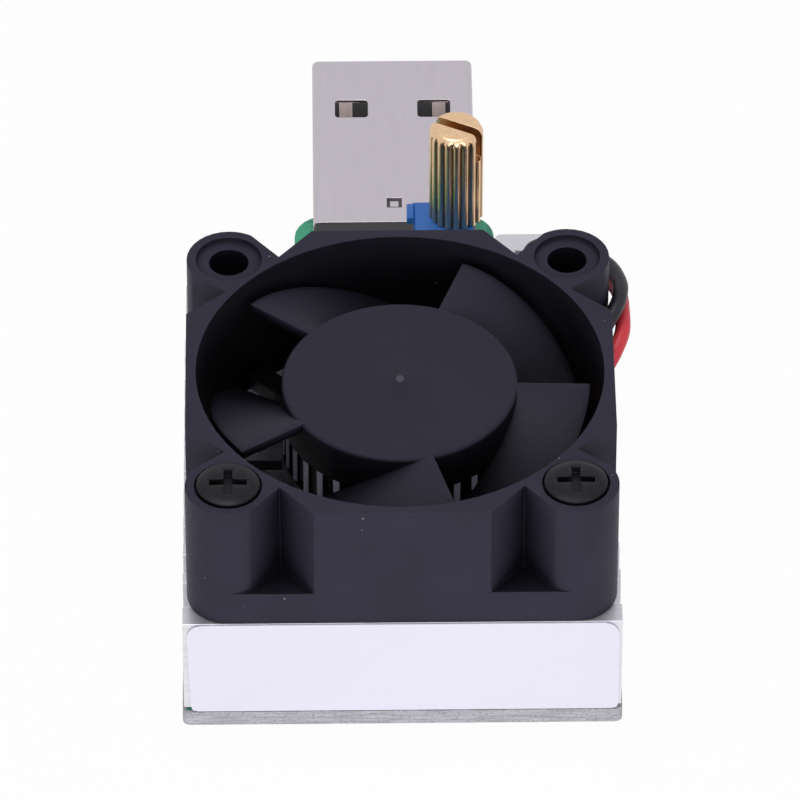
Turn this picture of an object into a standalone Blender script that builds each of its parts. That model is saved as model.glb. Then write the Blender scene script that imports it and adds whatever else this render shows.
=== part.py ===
"""USB load tester: a fan-cooled dummy load on a small circuit board with a USB plug.

A 30 mm fan stands on an aluminium heatsink, the heatsink sits on the front of the board, and the
plug leaves the back of the board. A multi-turn trimmer with a brass knob sets the load current.
+X is to the right, +Y points out of the plug, +Z is up. The origin is under the middle of the
object, on the surface that it stands on. Lengths are in metres.
"""
import math

import bmesh
import bpy
from mathutils import Matrix, Vector

MM = 0.001

# Fits
SEAT_GAP = 0.05 * MM
BEARING_GAP = 0.08 * MM
RUNNING_GAP = 0.3 * MM
HOLE_GAP = 0.15 * MM

# Circuit board
BOARD_SIDE = 0.1 * MM
BOARD_BEHIND = 16.0 * MM
BOARD_THICKNESS = 1.2 * MM
BOARD_CORNER = 0.5 * MM
TONGUE_SIDE = 1.4 * MM
TONGUE_LENGTH = 7.4 * MM
TONGUE_CORNER = 2.4 * MM
UNDERSIDE_HEIGHT = 2.4 * MM
TAIL_HEIGHT = 1.0 * MM

# USB plug
PLUG_WIDTH = 12.0 * MM
PLUG_HEIGHT = 4.5 * MM
PLUG_LENGTH = 18.7 * MM
PLUG_WALL = 0.3 * MM
PLUG_CORNER = 0.5 * MM
PLUG_OVERLAP = 6.1 * MM
LATCH_WIDTH = 2.45 * MM
LATCH_LENGTH = 2.0 * MM
LATCH_CENTRE_X = 3.08 * MM
LATCH_FROM_TIP = 5.6 * MM
LATCH_CORNER = 0.25 * MM
DIMPLE_SIZE = 1.1 * MM
DIMPLE_DEPTH = 0.15 * MM
DIMPLE_FROM_REAR = 2.2 * MM
TONGUE_THICKNESS = 1.95 * MM
INSULATOR_SETBACK = 0.8 * MM
BACK_CAP_DEPTH = 1.8 * MM
BACK_CAP_RECESS = 0.2 * MM
BACK_CAP_HOOD = 2.2 * MM
CONTACT_WIDTH = 1.0 * MM
CONTACT_THICKNESS = 0.2 * MM
CONTACT_SETBACK = 1.2 * MM
CONTACT_PITCHES = (-3.5 * MM, -1.0 * MM, 1.0 * MM, 3.5 * MM)
CONTACT_FOOT = 0.9 * MM
TAB_LENGTH = 1.4 * MM
TAB_FROM_REAR = 2.6 * MM

# Heatsink, thermal pad and side label
HEATSINK_SIDE = 0.3 * MM
HEATSINK_HEIGHT = 7.9 * MM
HEATSINK_BASE = 2.2 * MM
HEATSINK_SETBACK = 0.2 * MM
FIN_THICKNESS = 1.1 * MM
INNER_FINS = 8
PAD_THICKNESS = 0.25 * MM
PAD_MARGIN = 0.6 * MM
LABEL_SIDE = 0.5 * MM
LABEL_THICKNESS = 0.1 * MM
LABEL_CORNER = 1.0 * MM
LABEL_MARGIN = 0.05 * MM
UNDER_SCREW_INSET = 4.0 * MM
UNDER_SCREW_RADIUS = 1.4 * MM
UNDER_SCREW_HEAD = 2.75 * MM
UNDER_SCREW_BITE = 1.6 * MM

# Fan frame
FAN_SIZE = 30.0 * MM
FAN_HEIGHT = 10.2 * MM
FAN_EAR = 3.0 * MM
FAN_RIM = 0.7 * MM
FAN_FLANGE = 2.75 * MM
FAN_HOLE = 1.4 * MM
FAN_COUNTERBORE = 2.35 * MM
FAN_COUNTERBORE_DEPTH = 0.35 * MM
NOTCH_FROM_HOLE = 3.55 * MM
NOTCH_SLOPE = 2.35 * MM
NOTCH_WALL = 0.54 * MM
EAR_WEB_ANGLE = 32.0
BASE_DISC = 8.0 * MM
BASE_THICKNESS = 1.0 * MM
STRUT_WIDTH = 1.6 * MM
STRUT_HEIGHT = 1.3 * MM
STRUT_ANGLES = (54.0, 135.0, 225.0, 315.0)
STRUT_BITE = 0.5 * MM
UNDERCUT = 0.05 * MM
LEAD_SLOT_FROM_HOLE = 5.2 * MM
LEAD_SLOT_WIDTH = 3.4 * MM
LEAD_SLOT_DEPTH = 2.5 * MM
LEAD_TUNNEL_DEPTH = 5.1 * MM
LEAD_TUNNEL_HEIGHT = 1.8 * MM

# Fan rotor
HUB_RADIUS = 8.31 * MM
HUB_DROP = 1.0 * MM
HUB_TOP_WALL = 0.8 * MM
HUB_WALL = 0.75 * MM
HUB_EDGE = 0.3 * MM
HUB_LIFT = 1.4 * MM
RIB_COUNT = 35
RIB_DEPTH = 0.3 * MM
RIB_WIDTH = 0.5 * MM
RIB_DROP = 3.2 * MM
RIB_LIFT = 1.7 * MM
BLADE_COUNT = 5
BLADE_TIP_GAP = 0.95 * MM
BLADE_FIRST_ANGLE = 70.0
BLADE_SWEEP = 63.0
BLADE_CLEARANCE = 2.9 * MM
BLADE_THICKNESS = 0.7 * MM
BLADE_ROOT = 0.3 * MM
YOKE_WALL = 0.4 * MM
YOKE_LIFT = 1.7 * MM
MAGNET_WALL = 1.05 * MM
MAGNET_LOW = 2.1 * MM
MAGNET_DROP = 1.8 * MM
SHAFT_RADIUS = 0.9 * MM
SHAFT_LIFT = 1.3 * MM
SHAFT_BOSS_WALL = 1.0 * MM
CLIP_LOW = 1.6 * MM
CLIP_THICKNESS = 0.25 * MM
CLIP_GROOVE = 0.25 * MM
CLIP_RADIUS = 1.45 * MM

# Fan bearing and stator
SLEEVE_WALL = 0.6 * MM
SLEEVE_LOW = 2.1 * MM
TUBE_WALL = 0.7 * MM
TUBE_DROP = 1.4 * MM
CORE_LOW = 3.2 * MM
CORE_HEIGHT = 2.4 * MM
CORE_HUB_WALL = 0.9 * MM
POLE_COUNT = 4
POLE_WIDTH = 2.0 * MM
POLE_SHOE = 0.7 * MM
POLE_HALF_ANGLE = 35.0
COIL_BUILD = 0.65 * MM
COIL_LENGTH = 0.85 * MM
STATOR_BOARD_THICKNESS = 0.5 * MM

# Fan screws
SCREW_RADIUS = 1.2 * MM
SCREW_HEAD = 2.2 * MM
SCREW_HEAD_EDGE = 0.45 * MM
SCREW_HEAD_DOME = 0.25 * MM
SCREW_TIP_GAP = 1.1 * MM
RECESS_WIDTH = 0.6 * MM
RECESS_LENGTH = 2.6 * MM
RECESS_DEPTH = 0.6 * MM

# Fan connector
HEADER_BESIDE = 1.41 * MM
HEADER_BEHIND = 4.0 * MM
HEADER_WIDTH = 7.4 * MM
HEADER_DEPTH = 5.75 * MM
HEADER_HEIGHT = 7.0 * MM
HEADER_WALL = 0.75 * MM
HEADER_FLOOR = 1.2 * MM
HEADER_SLOT = 1.2 * MM
HEADER_CORNER = 0.3 * MM
PIN_PITCH = 2.5 * MM
PIN_SIZE = 0.64 * MM
PIN_HEIGHT = 5.4 * MM
HOUSING_HEIGHT = 9.8 * MM
HOUSING_RIM = 0.25 * MM
HOUSING_CORNER = 0.5 * MM
TERMINAL_SIZE = 1.7 * MM
TERMINAL_WALL = 0.35 * MM
TERMINAL_HEIGHT = 4.2 * MM

# Fan leads: the route is measured from the fan's axis and from its top face
LEAD_DIAMETER = 1.1 * MM
LEAD_STEP = 2.2 * MM
BLACK_ROUTE = (
    (6.7, 5.3, -9.42), (8.3, 6.6, -9.42), (9.7, 7.8, -9.42), (10.9, 8.7, -9.42), (12.1, 9.15, -9.4),
    (13.4, 9.2, -8.95), (14.15, 9.2, -8.1), (14.35, 9.2, -6.9), (14.4, 9.25, -5.6), (14.75, 9.5, -4.4),
    (15.35, 10.3, -3.7), (15.8, 11.6, -3.45), (15.8, 13.3, -3.5), (15.0, 15.4, -3.7),
    (13.2, 17.4, -4.1), (11.3, 19.4, -5.2), (10.0, 20.9, -6.8), (9.55, 21.7, -8.5),
    (9.5, 21.87, -10.2), (9.5, 21.87, -11.6),
)
RED_ROUTE = (
    (7.5, 3.9, -9.42), (9.2, 5.5, -9.42), (10.8, 7.0, -9.42), (12.0, 7.55, -9.42), (13.3, 7.62, -9.2),
    (14.2, 7.6, -8.3), (14.7, 7.75, -7.0), (15.4, 8.5, -5.95), (15.95, 9.9, -5.3), (16.0, 11.7, -5.0),
    (15.85, 13.6, -5.0), (15.2, 15.4, -5.2), (14.1, 17.3, -5.5), (12.9, 19.2, -6.1),
    (12.2, 20.8, -7.2), (12.0, 21.8, -8.8), (12.0, 21.87, -10.2), (12.0, 21.87, -11.6),
)

# Trimmer
TRIMMER_LEFT = 1.34 * MM
TRIMMER_WIDTH = 4.3 * MM
TRIMMER_DEPTH = 9.5 * MM
TRIMMER_HEIGHT = 9.7 * MM
TRIMMER_BEHIND = 3.6 * MM
TRIMMER_STANDOFF = 0.3 * MM
TRIMMER_WALL = 0.6 * MM
TRIMMER_ROOF = 1.0 * MM
TRIMMER_LIP = 0.53 * MM
TRIMMER_LIP_DEPTH = 1.7 * MM
TRIMMER_LIP_HEIGHT = 0.7 * MM
TRIMMER_BASE = 0.8 * MM
TRIMMER_PIN_PITCH = 2.54 * MM
TRIMMER_PIN_RADIUS = 0.25 * MM
KNOB_FROM_RIGHT = 1.24 * MM
KNOB_FROM_BACK = 1.3 * MM
KNOB_RADIUS = 1.97 * MM
KNOB_HEIGHT = 8.25 * MM
KNOB_FLUTES = 18
KNOB_FLUTE_DEPTH = 0.17 * MM
KNOB_ROUNDING = 0.5 * MM
KNOB_SLOT_WIDTH = 0.7 * MM
KNOB_SLOT_DEPTH = 2.5 * MM
KNOB_SLOT_ANGLE = -27.0
STEM_RADIUS = 0.62 * MM
SEAL_RADIUS = 0.3 * MM
CARRIAGE_HEIGHT = 2.0 * MM
CARRIAGE_DEPTH = 3.4 * MM
ELEMENT_THICKNESS = 0.6 * MM
SPRING_THICKNESS = 0.12 * MM
SPRING_ROOM = 0.45 * MM

# Parts soldered under the board
TRANSISTOR_SIZE = (6.5 * MM, 6.1 * MM, 2.2 * MM)
TRANSISTOR_TAB = 1.1 * MM
TRANSISTOR_TAB_WIDTH = 5.2 * MM
TRANSISTOR_LEG = (0.7 * MM, 1.6 * MM)
TRANSISTOR_LEG_PITCH = 2.28 * MM
LEG_THICKNESS = 0.5 * MM
SENSE_SIZE = (3.2 * MM, 6.3 * MM, 0.6 * MM)
SENSE_PLACE = (-9.5 * MM, 14.0 * MM)
AMPLIFIER_SIZE = (4.9 * MM, 3.9 * MM, 1.4 * MM)
AMPLIFIER_PLACE = (-1.5 * MM, 13.5 * MM)
AMPLIFIER_LEG_PITCH = 1.27 * MM
REFERENCE_SIZE = (2.9 * MM, 1.3 * MM, 1.0 * MM)
REFERENCE_PLACE = (-8.0 * MM, 21.5 * MM)
REFERENCE_LEG_PITCH = 0.95 * MM
THIN_LEG = 0.2 * MM
THIN_LEG_SIZE = (0.42 * MM, 1.0 * MM)
CHIP_SIZE = (2.0 * MM, 1.25 * MM, 0.55 * MM)
CAPACITOR_SIZE = (2.0 * MM, 1.25 * MM, 0.95 * MM)
RESISTOR_COLUMNS = (-4.2 * MM, -1.2 * MM)
RESISTOR_ROWS = (19.0 * MM, 21.2 * MM)
CAPACITOR_PLACES = ((-1.2 * MM, 23.4 * MM), (-8.0 * MM, 25.5 * MM), (5.0 * MM, 14.2 * MM))
SOLDER_RADIUS = 0.85 * MM
SOLDER_HEIGHT = 0.8 * MM

SIDES = ("left", "right")

# Facets
FINE = 60
RING = 36
COARSE = 24
SMALL = 16
TINY = 12

# Places that follow from the sizes above
HEATSINK_WIDTH = FAN_SIZE + 2 * HEATSINK_SIDE
HEATSINK_DEPTH = FAN_SIZE
LABEL_WIDTH = HEATSINK_WIDTH - 2 * LABEL_SIDE
UNDER_SCREW_X = HEATSINK_WIDTH / 2 - UNDER_SCREW_INSET
BOARD_WIDTH = HEATSINK_WIDTH + 2 * BOARD_SIDE
BOARD_LENGTH = HEATSINK_SETBACK + HEATSINK_DEPTH + BOARD_BEHIND
TONGUE_WIDTH = PLUG_WIDTH + 2 * TONGUE_SIDE
OVERALL_LENGTH = BOARD_LENGTH + TONGUE_LENGTH - PLUG_OVERLAP + PLUG_LENGTH
BOARD_FRONT = -OVERALL_LENGTH / 2
BOARD_BACK = BOARD_FRONT + BOARD_LENGTH
TONGUE_END = BOARD_BACK + TONGUE_LENGTH
PLUG_REAR = TONGUE_END - PLUG_OVERLAP
PLUG_TIP = PLUG_REAR + PLUG_LENGTH
BOARD_BOTTOM = UNDERSIDE_HEIGHT
BOARD_TOP = BOARD_BOTTOM + BOARD_THICKNESS
PLUG_LOW = BOARD_TOP + SEAT_GAP
PLUG_HIGH = PLUG_LOW + PLUG_HEIGHT
PAD_LOW = BOARD_TOP + SEAT_GAP
HEATSINK_LOW = PAD_LOW + PAD_THICKNESS + SEAT_GAP
HEATSINK_HIGH = HEATSINK_LOW + HEATSINK_HEIGHT
HEATSINK_FRONT = BOARD_FRONT + HEATSINK_SETBACK
HEATSINK_BACK = HEATSINK_FRONT + HEATSINK_DEPTH
FAN_Y = HEATSINK_FRONT + HEATSINK_DEPTH / 2
FAN_LOW = HEATSINK_HIGH + SEAT_GAP
FAN_HIGH = FAN_LOW + FAN_HEIGHT
FAN_CENTRE = Vector((0.0, FAN_Y, FAN_LOW))
FAN_PITCH = FAN_SIZE - 2 * FAN_EAR
FAN_BORE = FAN_SIZE / 2 - FAN_RIM
NOTCH_HALF = FAN_PITCH / 2 - NOTCH_FROM_HOLE
LEAD_SLOT_LOW = FAN_PITCH / 2 - LEAD_SLOT_FROM_HOLE
LEAD_SLOT_HIGH = LEAD_SLOT_LOW + LEAD_SLOT_WIDTH
LEAD_SLOT_X = FAN_SIZE / 2 - LEAD_SLOT_DEPTH
LEAD_TUNNEL_X = FAN_SIZE / 2 - LEAD_TUNNEL_DEPTH
HUB_HIGH = FAN_HEIGHT - HUB_DROP
RIB_HIGH = HUB_HIGH - RIB_DROP
RIB_LOW = HUB_LIFT + RIB_LIFT
BLADE_TIP = FAN_BORE - BLADE_TIP_GAP
BLADE_DROP = HUB_HIGH - BLADE_CLEARANCE
HUB_CEILING = HUB_HIGH - HUB_TOP_WALL
MAGNET_HIGH = HUB_CEILING - MAGNET_DROP
TUBE_HEIGHT = HUB_CEILING - TUBE_DROP
SOCKET_HIGH = HUB_CEILING + HUB_TOP_WALL / 2
HUB_INNER = HUB_RADIUS - HUB_WALL
YOKE_OUTER = HUB_INNER - SEAT_GAP
YOKE_INNER = YOKE_OUTER - YOKE_WALL
MAGNET_OUTER = YOKE_INNER - SEAT_GAP
MAGNET_INNER = MAGNET_OUTER - MAGNET_WALL
STATOR_RADIUS = MAGNET_INNER - RUNNING_GAP
SLEEVE_INNER = SHAFT_RADIUS + BEARING_GAP
SLEEVE_OUTER = SLEEVE_INNER + SLEEVE_WALL
TUBE_INNER = SLEEVE_OUTER + SEAT_GAP
TUBE_OUTER = TUBE_INNER + TUBE_WALL
CORE_BORE = TUBE_OUTER + SEAT_GAP
CORE_HUB = CORE_BORE + CORE_HUB_WALL
SCREW_BITE = HEATSINK_HEIGHT - HEATSINK_BASE - SCREW_TIP_GAP
HEADER_X = TRIMMER_LEFT + TRIMMER_WIDTH + HEADER_BESIDE + HEADER_WIDTH / 2
HEADER_FRONT = HEATSINK_BACK + HEADER_BEHIND
HEADER_Y = HEADER_FRONT + HEADER_DEPTH / 2
HEADER_LOW = BOARD_TOP + SEAT_GAP
HEADER_FLOOR_TOP = HEADER_LOW + HEADER_FLOOR
TRIMMER_RIGHT = TRIMMER_LEFT + TRIMMER_WIDTH
TRIMMER_FRONT = HEATSINK_BACK + TRIMMER_BEHIND
TRIMMER_BACK = TRIMMER_FRONT + TRIMMER_DEPTH
TRIMMER_LOW = BOARD_TOP + TRIMMER_STANDOFF
TRIMMER_HIGH = TRIMMER_LOW + TRIMMER_HEIGHT
TRIMMER_PIN_X = TRIMMER_LEFT + TRIMMER_WIDTH / 2
TRIMMER_PIN_Y = TRIMMER_FRONT + TRIMMER_DEPTH / 2
KNOB_X = TRIMMER_RIGHT - KNOB_FROM_RIGHT
KNOB_Y = TRIMMER_BACK - KNOB_FROM_BACK
CAVITY_LEFT = TRIMMER_LEFT + TRIMMER_WALL
CAVITY_RIGHT = TRIMMER_RIGHT - TRIMMER_WALL
CAVITY_FRONT = TRIMMER_FRONT + TRIMMER_WALL
CAVITY_BACK = TRIMMER_BACK - TRIMMER_WALL
CAVITY_LOW = TRIMMER_LOW + TRIMMER_BASE
CAVITY_HIGH = TRIMMER_HIGH - TRIMMER_ROOF


def clear_scene():
    for obj in list(bpy.data.objects):
        bpy.data.objects.remove(obj)


def paint(obj, colour, roughness, metallic=0.0):
    """Gives the object a plain Principled material of its own; colour is sRGB, 0 to 255."""
    material = bpy.data.materials.new(obj.name)
    material.use_nodes = True
    shader = material.node_tree.nodes["Principled BSDF"]
    linear = [((c / 255 + 0.055) / 1.055) ** 2.4 if c > 10 else c / 255 / 12.92 for c in colour]
    shader.inputs["Base Color"].default_value = (*linear, 1.0)
    shader.inputs["Roughness"].default_value = roughness
    shader.inputs["Metallic"].default_value = metallic
    obj.data.materials.clear()
    obj.data.materials.append(material)
    return obj


def make_object(name, bm):
    """Turns a bmesh into an object with its faces pointing out."""
    bmesh.ops.recalc_face_normals(bm, faces=bm.faces)
    mesh = bpy.data.meshes.new(name)
    bm.to_mesh(mesh)
    bm.free()
    obj = bpy.data.objects.new(name, mesh)
    bpy.context.scene.collection.objects.link(obj)
    return obj


def along(axis, u, v, w):
    """A point whose outline is drawn in the two other axes and whose length runs along axis."""
    if axis == "X":
        return Vector((w, u, v))
    if axis == "Y":
        return Vector((u, w, v))
    return Vector((u, v, w))


def prism(name, outline, low, high, axis="Z"):
    """Extrudes a closed outline of (u, v) points from low to high along an axis."""
    bm = bmesh.new()
    face = bm.faces.new([bm.verts.new(along(axis, u, v, low)) for u, v in outline])
    side = bmesh.ops.extrude_face_region(bm, geom=[face])["geom"]
    moved = [item for item in side if isinstance(item, bmesh.types.BMVert)]
    bmesh.ops.translate(bm, verts=moved, vec=along(axis, 0, 0, high - low))
    return make_object(name, bm)


def box(name, low, high):
    corners = [(low[0], low[1]), (high[0], low[1]), (high[0], high[1]), (low[0], high[1])]
    return prism(name, corners, low[2], high[2])


def arc(centre, radius, start, end, steps):
    """Points on an arc, with angles in degrees and both ends included."""
    angles = [math.radians(start + (end - start) * i / steps) for i in range(steps + 1)]
    return [(centre[0] + radius * math.cos(a), centre[1] + radius * math.sin(a)) for a in angles]


def circle(centre, radius, steps):
    return arc(centre, radius, 0, 360, steps)[:-1]


def rounded(centre, width, height, radius, steps=4):
    """A rectangle with round corners, drawn anticlockwise."""
    points = []
    for turn, (sx, sy) in enumerate(((1, -1), (1, 1), (-1, 1), (-1, -1))):
        corner = (centre[0] + sx * (width / 2 - radius), centre[1] + sy * (height / 2 - radius))
        points += arc(corner, radius, 90 * turn - 90, 90 * turn, steps)
    return points


def turned(name, profile, centre, steps=COARSE):
    """Turns a closed profile of (radius, height) points about a vertical axis through centre."""
    bm = bmesh.new()
    verts = [bm.verts.new((radius, 0, height)) for radius, height in profile]
    sides = [(verts[i - 1], verts[i]) for i in range(len(verts))]
    edges = [bm.edges.new(side) for side in sides if side[0].co.x > 0 or side[1].co.x > 0]
    bmesh.ops.spin(
        bm, geom=verts + edges, axis=(0, 0, 1), cent=(0, 0, 0), angle=math.tau, steps=steps, use_merge=True
    )
    bmesh.ops.remove_doubles(bm, verts=bm.verts, dist=0.001 * MM)
    bmesh.ops.translate(bm, verts=bm.verts, vec=centre)
    return make_object(name, bm)


def rod(name, radius, low, high, centre, steps=COARSE):
    obj = prism(name, circle((0, 0), radius, steps), low, high)
    obj.data.transform(Matrix.Translation(centre))
    return obj


def tube(name, outer, inner, low, high, centre, steps=COARSE):
    return turned(name, [(inner, low), (outer, low), (outer, high), (inner, high)], centre, steps)


def combine(target, tool, operation):
    """Cuts, adds or intersects a tool, and takes the tool away."""
    modifier = target.modifiers.new("combine", "BOOLEAN")
    modifier.operation = operation
    modifier.solver = "EXACT"
    modifier.object = tool
    bpy.context.view_layer.update()
    evaluated = target.evaluated_get(bpy.context.evaluated_depsgraph_get())
    old = target.data
    target.data = bpy.data.meshes.new_from_object(evaluated)
    target.modifiers.clear()
    bpy.data.meshes.remove(old)
    bpy.data.objects.remove(tool)
    return target


def cut(target, tool):
    return combine(target, tool, "DIFFERENCE")


def add(target, tool):
    return combine(target, tool, "UNION")


def group(name, objects):
    """Puts separate solids into one object, each still a body of its own."""
    bm = bmesh.new()
    for obj in objects:
        bm.from_mesh(obj.data)
        bpy.data.objects.remove(obj)
    mesh = bpy.data.meshes.new(name)
    bm.to_mesh(mesh)
    bm.free()
    merged = bpy.data.objects.new(name, mesh)
    bpy.context.scene.collection.objects.link(merged)
    return merged


def smooth(obj, angle=32.0):
    obj.data.shade_smooth()
    obj.data.set_sharp_from_angle(angle=math.radians(angle))
    return obj


def spun(obj, angle, centre=Vector((0, 0, 0))):
    """Turns an object's mesh about the vertical line through centre."""
    turn = Matrix.Rotation(math.radians(angle), 4, "Z")
    obj.data.transform(Matrix.Translation(centre) @ turn @ Matrix.Translation(-centre))
    return obj


def origin_at(obj, place):
    """Moves an object's origin to its joint's axis and leaves its shape where it is."""
    obj.data.transform(Matrix.Translation(-Vector(place)))
    obj.location = place
    return obj


def under_screw_places():
    return [Vector((side * UNDER_SCREW_X, FAN_Y, 0)) for side in (-1, 1)]


def trimmer_pin_places():
    return [Vector((TRIMMER_PIN_X, TRIMMER_PIN_Y + i * TRIMMER_PIN_PITCH, 0)) for i in (-1, 0, 1)]


def solder_cone(place):
    """Solder round a pin where it comes through the board."""
    top = BOARD_BOTTOM - SEAT_GAP
    low = top - SOLDER_HEIGHT
    profile = [(0, low), (TRIMMER_PIN_RADIUS, low), (SOLDER_RADIUS, top), (0, top)]
    return turned("solder", profile, place, 16)


def header_pin_places():
    return [Vector((HEADER_X + side * PIN_PITCH / 2, HEADER_Y, 0)) for side in (-1, 1)]


def shell_tab_places():
    return [Vector((side * (PLUG_WIDTH - PLUG_WALL) / 2, PLUG_REAR + TAB_FROM_REAR, 0)) for side in (-1, 1)]


def board_outline():
    """Wide part with the heatsink on it, then a round-ended tongue under the plug."""
    half = BOARD_WIDTH / 2
    tongue = TONGUE_WIDTH / 2
    front = BOARD_FRONT + BOARD_CORNER
    back = BOARD_BACK - BOARD_CORNER
    end = TONGUE_END - TONGUE_CORNER
    right = arc((half - BOARD_CORNER, front), BOARD_CORNER, -90, 0, 3)
    right += arc((half - BOARD_CORNER, back), BOARD_CORNER, 0, 90, 3)
    right += [(tongue, BOARD_BACK)]
    right += arc((tongue - TONGUE_CORNER, end), TONGUE_CORNER, 0, 90, 6)
    return right + [(-x, y) for x, y in reversed(right)]


def make_board():
    board = prism("circuit_board", board_outline(), BOARD_BOTTOM, BOARD_TOP)
    low = BOARD_BOTTOM - BOARD_THICKNESS
    high = BOARD_TOP + BOARD_THICKNESS
    holes = [rod("hole", UNDER_SCREW_RADIUS + HOLE_GAP, low, high, p) for p in under_screw_places()]
    pin_hole = TRIMMER_PIN_RADIUS + HOLE_GAP
    holes += [rod("hole", pin_hole, low, high, p, TINY) for p in trimmer_pin_places()]
    header_hole = PIN_SIZE * math.sqrt(0.5) + HOLE_GAP
    holes += [rod("hole", header_hole, low, high, p, TINY) for p in header_pin_places()]
    slot_width = PLUG_WALL + 2 * HOLE_GAP
    slot_length = TAB_LENGTH + 2 * HOLE_GAP
    for place in shell_tab_places():
        outline = rounded((place.x, place.y), slot_width, slot_length, slot_width / 2 - UNDERCUT, 3)
        holes.append(prism("slot", outline, low, high))
    cut(board, group("holes", holes))
    paint(board, (38, 120, 88), 0.38)


def fin_edges():
    """Front and back of each fin, from the front of the heatsink to its back."""
    screw_channel = 2 * (SCREW_RADIUS + SEAT_GAP)
    outer_fin = (HEATSINK_DEPTH - FAN_PITCH - screw_channel) / 2
    inner_start = outer_fin + screw_channel
    inner_span = HEATSINK_DEPTH - 2 * inner_start
    step = (inner_span - FIN_THICKNESS) / (INNER_FINS - 1)
    edges = [(0.0, outer_fin)]
    edges += [(inner_start + i * step, inner_start + i * step + FIN_THICKNESS) for i in range(INNER_FINS)]
    edges.append((HEATSINK_DEPTH - outer_fin, HEATSINK_DEPTH))
    return [(HEATSINK_FRONT + a, HEATSINK_FRONT + b) for a, b in edges]


def make_heatsink():
    """Extruded comb with its fins across the object, so that air leaves to the left and right."""
    floor = HEATSINK_LOW + HEATSINK_BASE
    outline = [(HEATSINK_FRONT, HEATSINK_LOW), (HEATSINK_BACK, HEATSINK_LOW)]
    for front, back in reversed(fin_edges()):
        outline += [(back, floor), (back, HEATSINK_HIGH), (front, HEATSINK_HIGH), (front, floor)]
    sides = [point for i, point in enumerate(outline) if i not in (2, len(outline) - 1)]
    heatsink = prism("heatsink", sides, -HEATSINK_WIDTH / 2, HEATSINK_WIDTH / 2, "X")
    depth = UNDER_SCREW_BITE + HOLE_GAP
    radius = UNDER_SCREW_RADIUS + SEAT_GAP
    low = HEATSINK_LOW - depth
    high = HEATSINK_LOW + depth
    cut(heatsink, group("holes", [rod("hole", radius, low, high, p) for p in under_screw_places()]))
    paint(heatsink, (176, 178, 184), 0.35, 1.0)


def make_pad_and_label():
    width = HEATSINK_WIDTH - 2 * PAD_MARGIN
    depth = HEATSINK_DEPTH - 2 * PAD_MARGIN
    outline = rounded((0, FAN_Y), width, depth, PAD_MARGIN)
    pad = prism("thermal_pad", outline, PAD_LOW, PAD_LOW + PAD_THICKNESS)
    radius = UNDER_SCREW_RADIUS + HOLE_GAP
    holes = [rod("hole", radius, 0, HEATSINK_HIGH, p) for p in under_screw_places()]
    cut(pad, group("holes", holes))
    paint(pad, (206, 208, 210), 0.75)

    low = PAD_LOW + LABEL_MARGIN
    high = HEATSINK_HIGH - LABEL_MARGIN
    back = HEATSINK_FRONT - SEAT_GAP
    outline = rounded((0, (low + high) / 2), LABEL_WIDTH, high - low, LABEL_CORNER)
    label = prism("side_label", outline, back - LABEL_THICKNESS, back, "Y")
    paint(label, (238, 235, 246), 0.45)


def cross_recess(name, centre, top, depth, length):
    """Cutter for a cross recess that is open at top and goes depth down or, if negative, up."""
    levels = sorted((top - depth, top + depth))
    half = length / 2
    side = RECESS_WIDTH / 2
    star = [(half, side), (side, side), (side, half), (-side, half), (-side, side), (-half, side)]
    outline = star + [(-x, -y) for x, y in star]
    tool = prism(name, outline, levels[0], levels[1])
    tool.data.transform(Matrix.Translation(centre))
    return tool


def make_under_screws():
    """Two pan-head screws that hold the heatsink from below; the object stands on their heads."""
    head_top = BOARD_BOTTOM - SEAT_GAP
    shank_top = HEATSINK_LOW + UNDER_SCREW_BITE
    rounding = RECESS_DEPTH
    for side, place in zip(SIDES, under_screw_places()):
        profile = [(0, 0), (UNDER_SCREW_HEAD - rounding, 0), (UNDER_SCREW_HEAD, rounding),
                   (UNDER_SCREW_HEAD, head_top), (UNDER_SCREW_RADIUS, head_top),
                   (UNDER_SCREW_RADIUS, shank_top), (0, shank_top)]
        screw = turned("heatsink_screw_" + side, profile, place)
        cut(screw, cross_recess("recess", place, 0, 2 * RECESS_DEPTH, RECESS_LENGTH))
        paint(smooth(screw), (168, 170, 176), 0.32, 1.0)


def fan_corner(sx, sy):
    return Vector((sx * FAN_PITCH / 2, sy * FAN_PITCH / 2, 0))


def notch_outline():
    """One side notch of the fan frame: from the flat, in to the thin wall, and out to the ear."""
    half = FAN_SIZE / 2
    apex = (math.sqrt((FAN_BORE + NOTCH_WALL) ** 2 - NOTCH_HALF ** 2), NOTCH_HALF)
    depth = half - apex[0]
    flat_half = NOTCH_HALF - NOTCH_SLOPE
    beyond = (half + depth / 2, flat_half - NOTCH_SLOPE / 2)
    corner = (FAN_PITCH / 2, FAN_PITCH / 2)
    web = arc(corner, FAN_EAR, 0, -EAR_WEB_ANGLE, 4)
    return [beyond, (half + depth / 2, corner[1])] + web + [apex]


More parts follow.
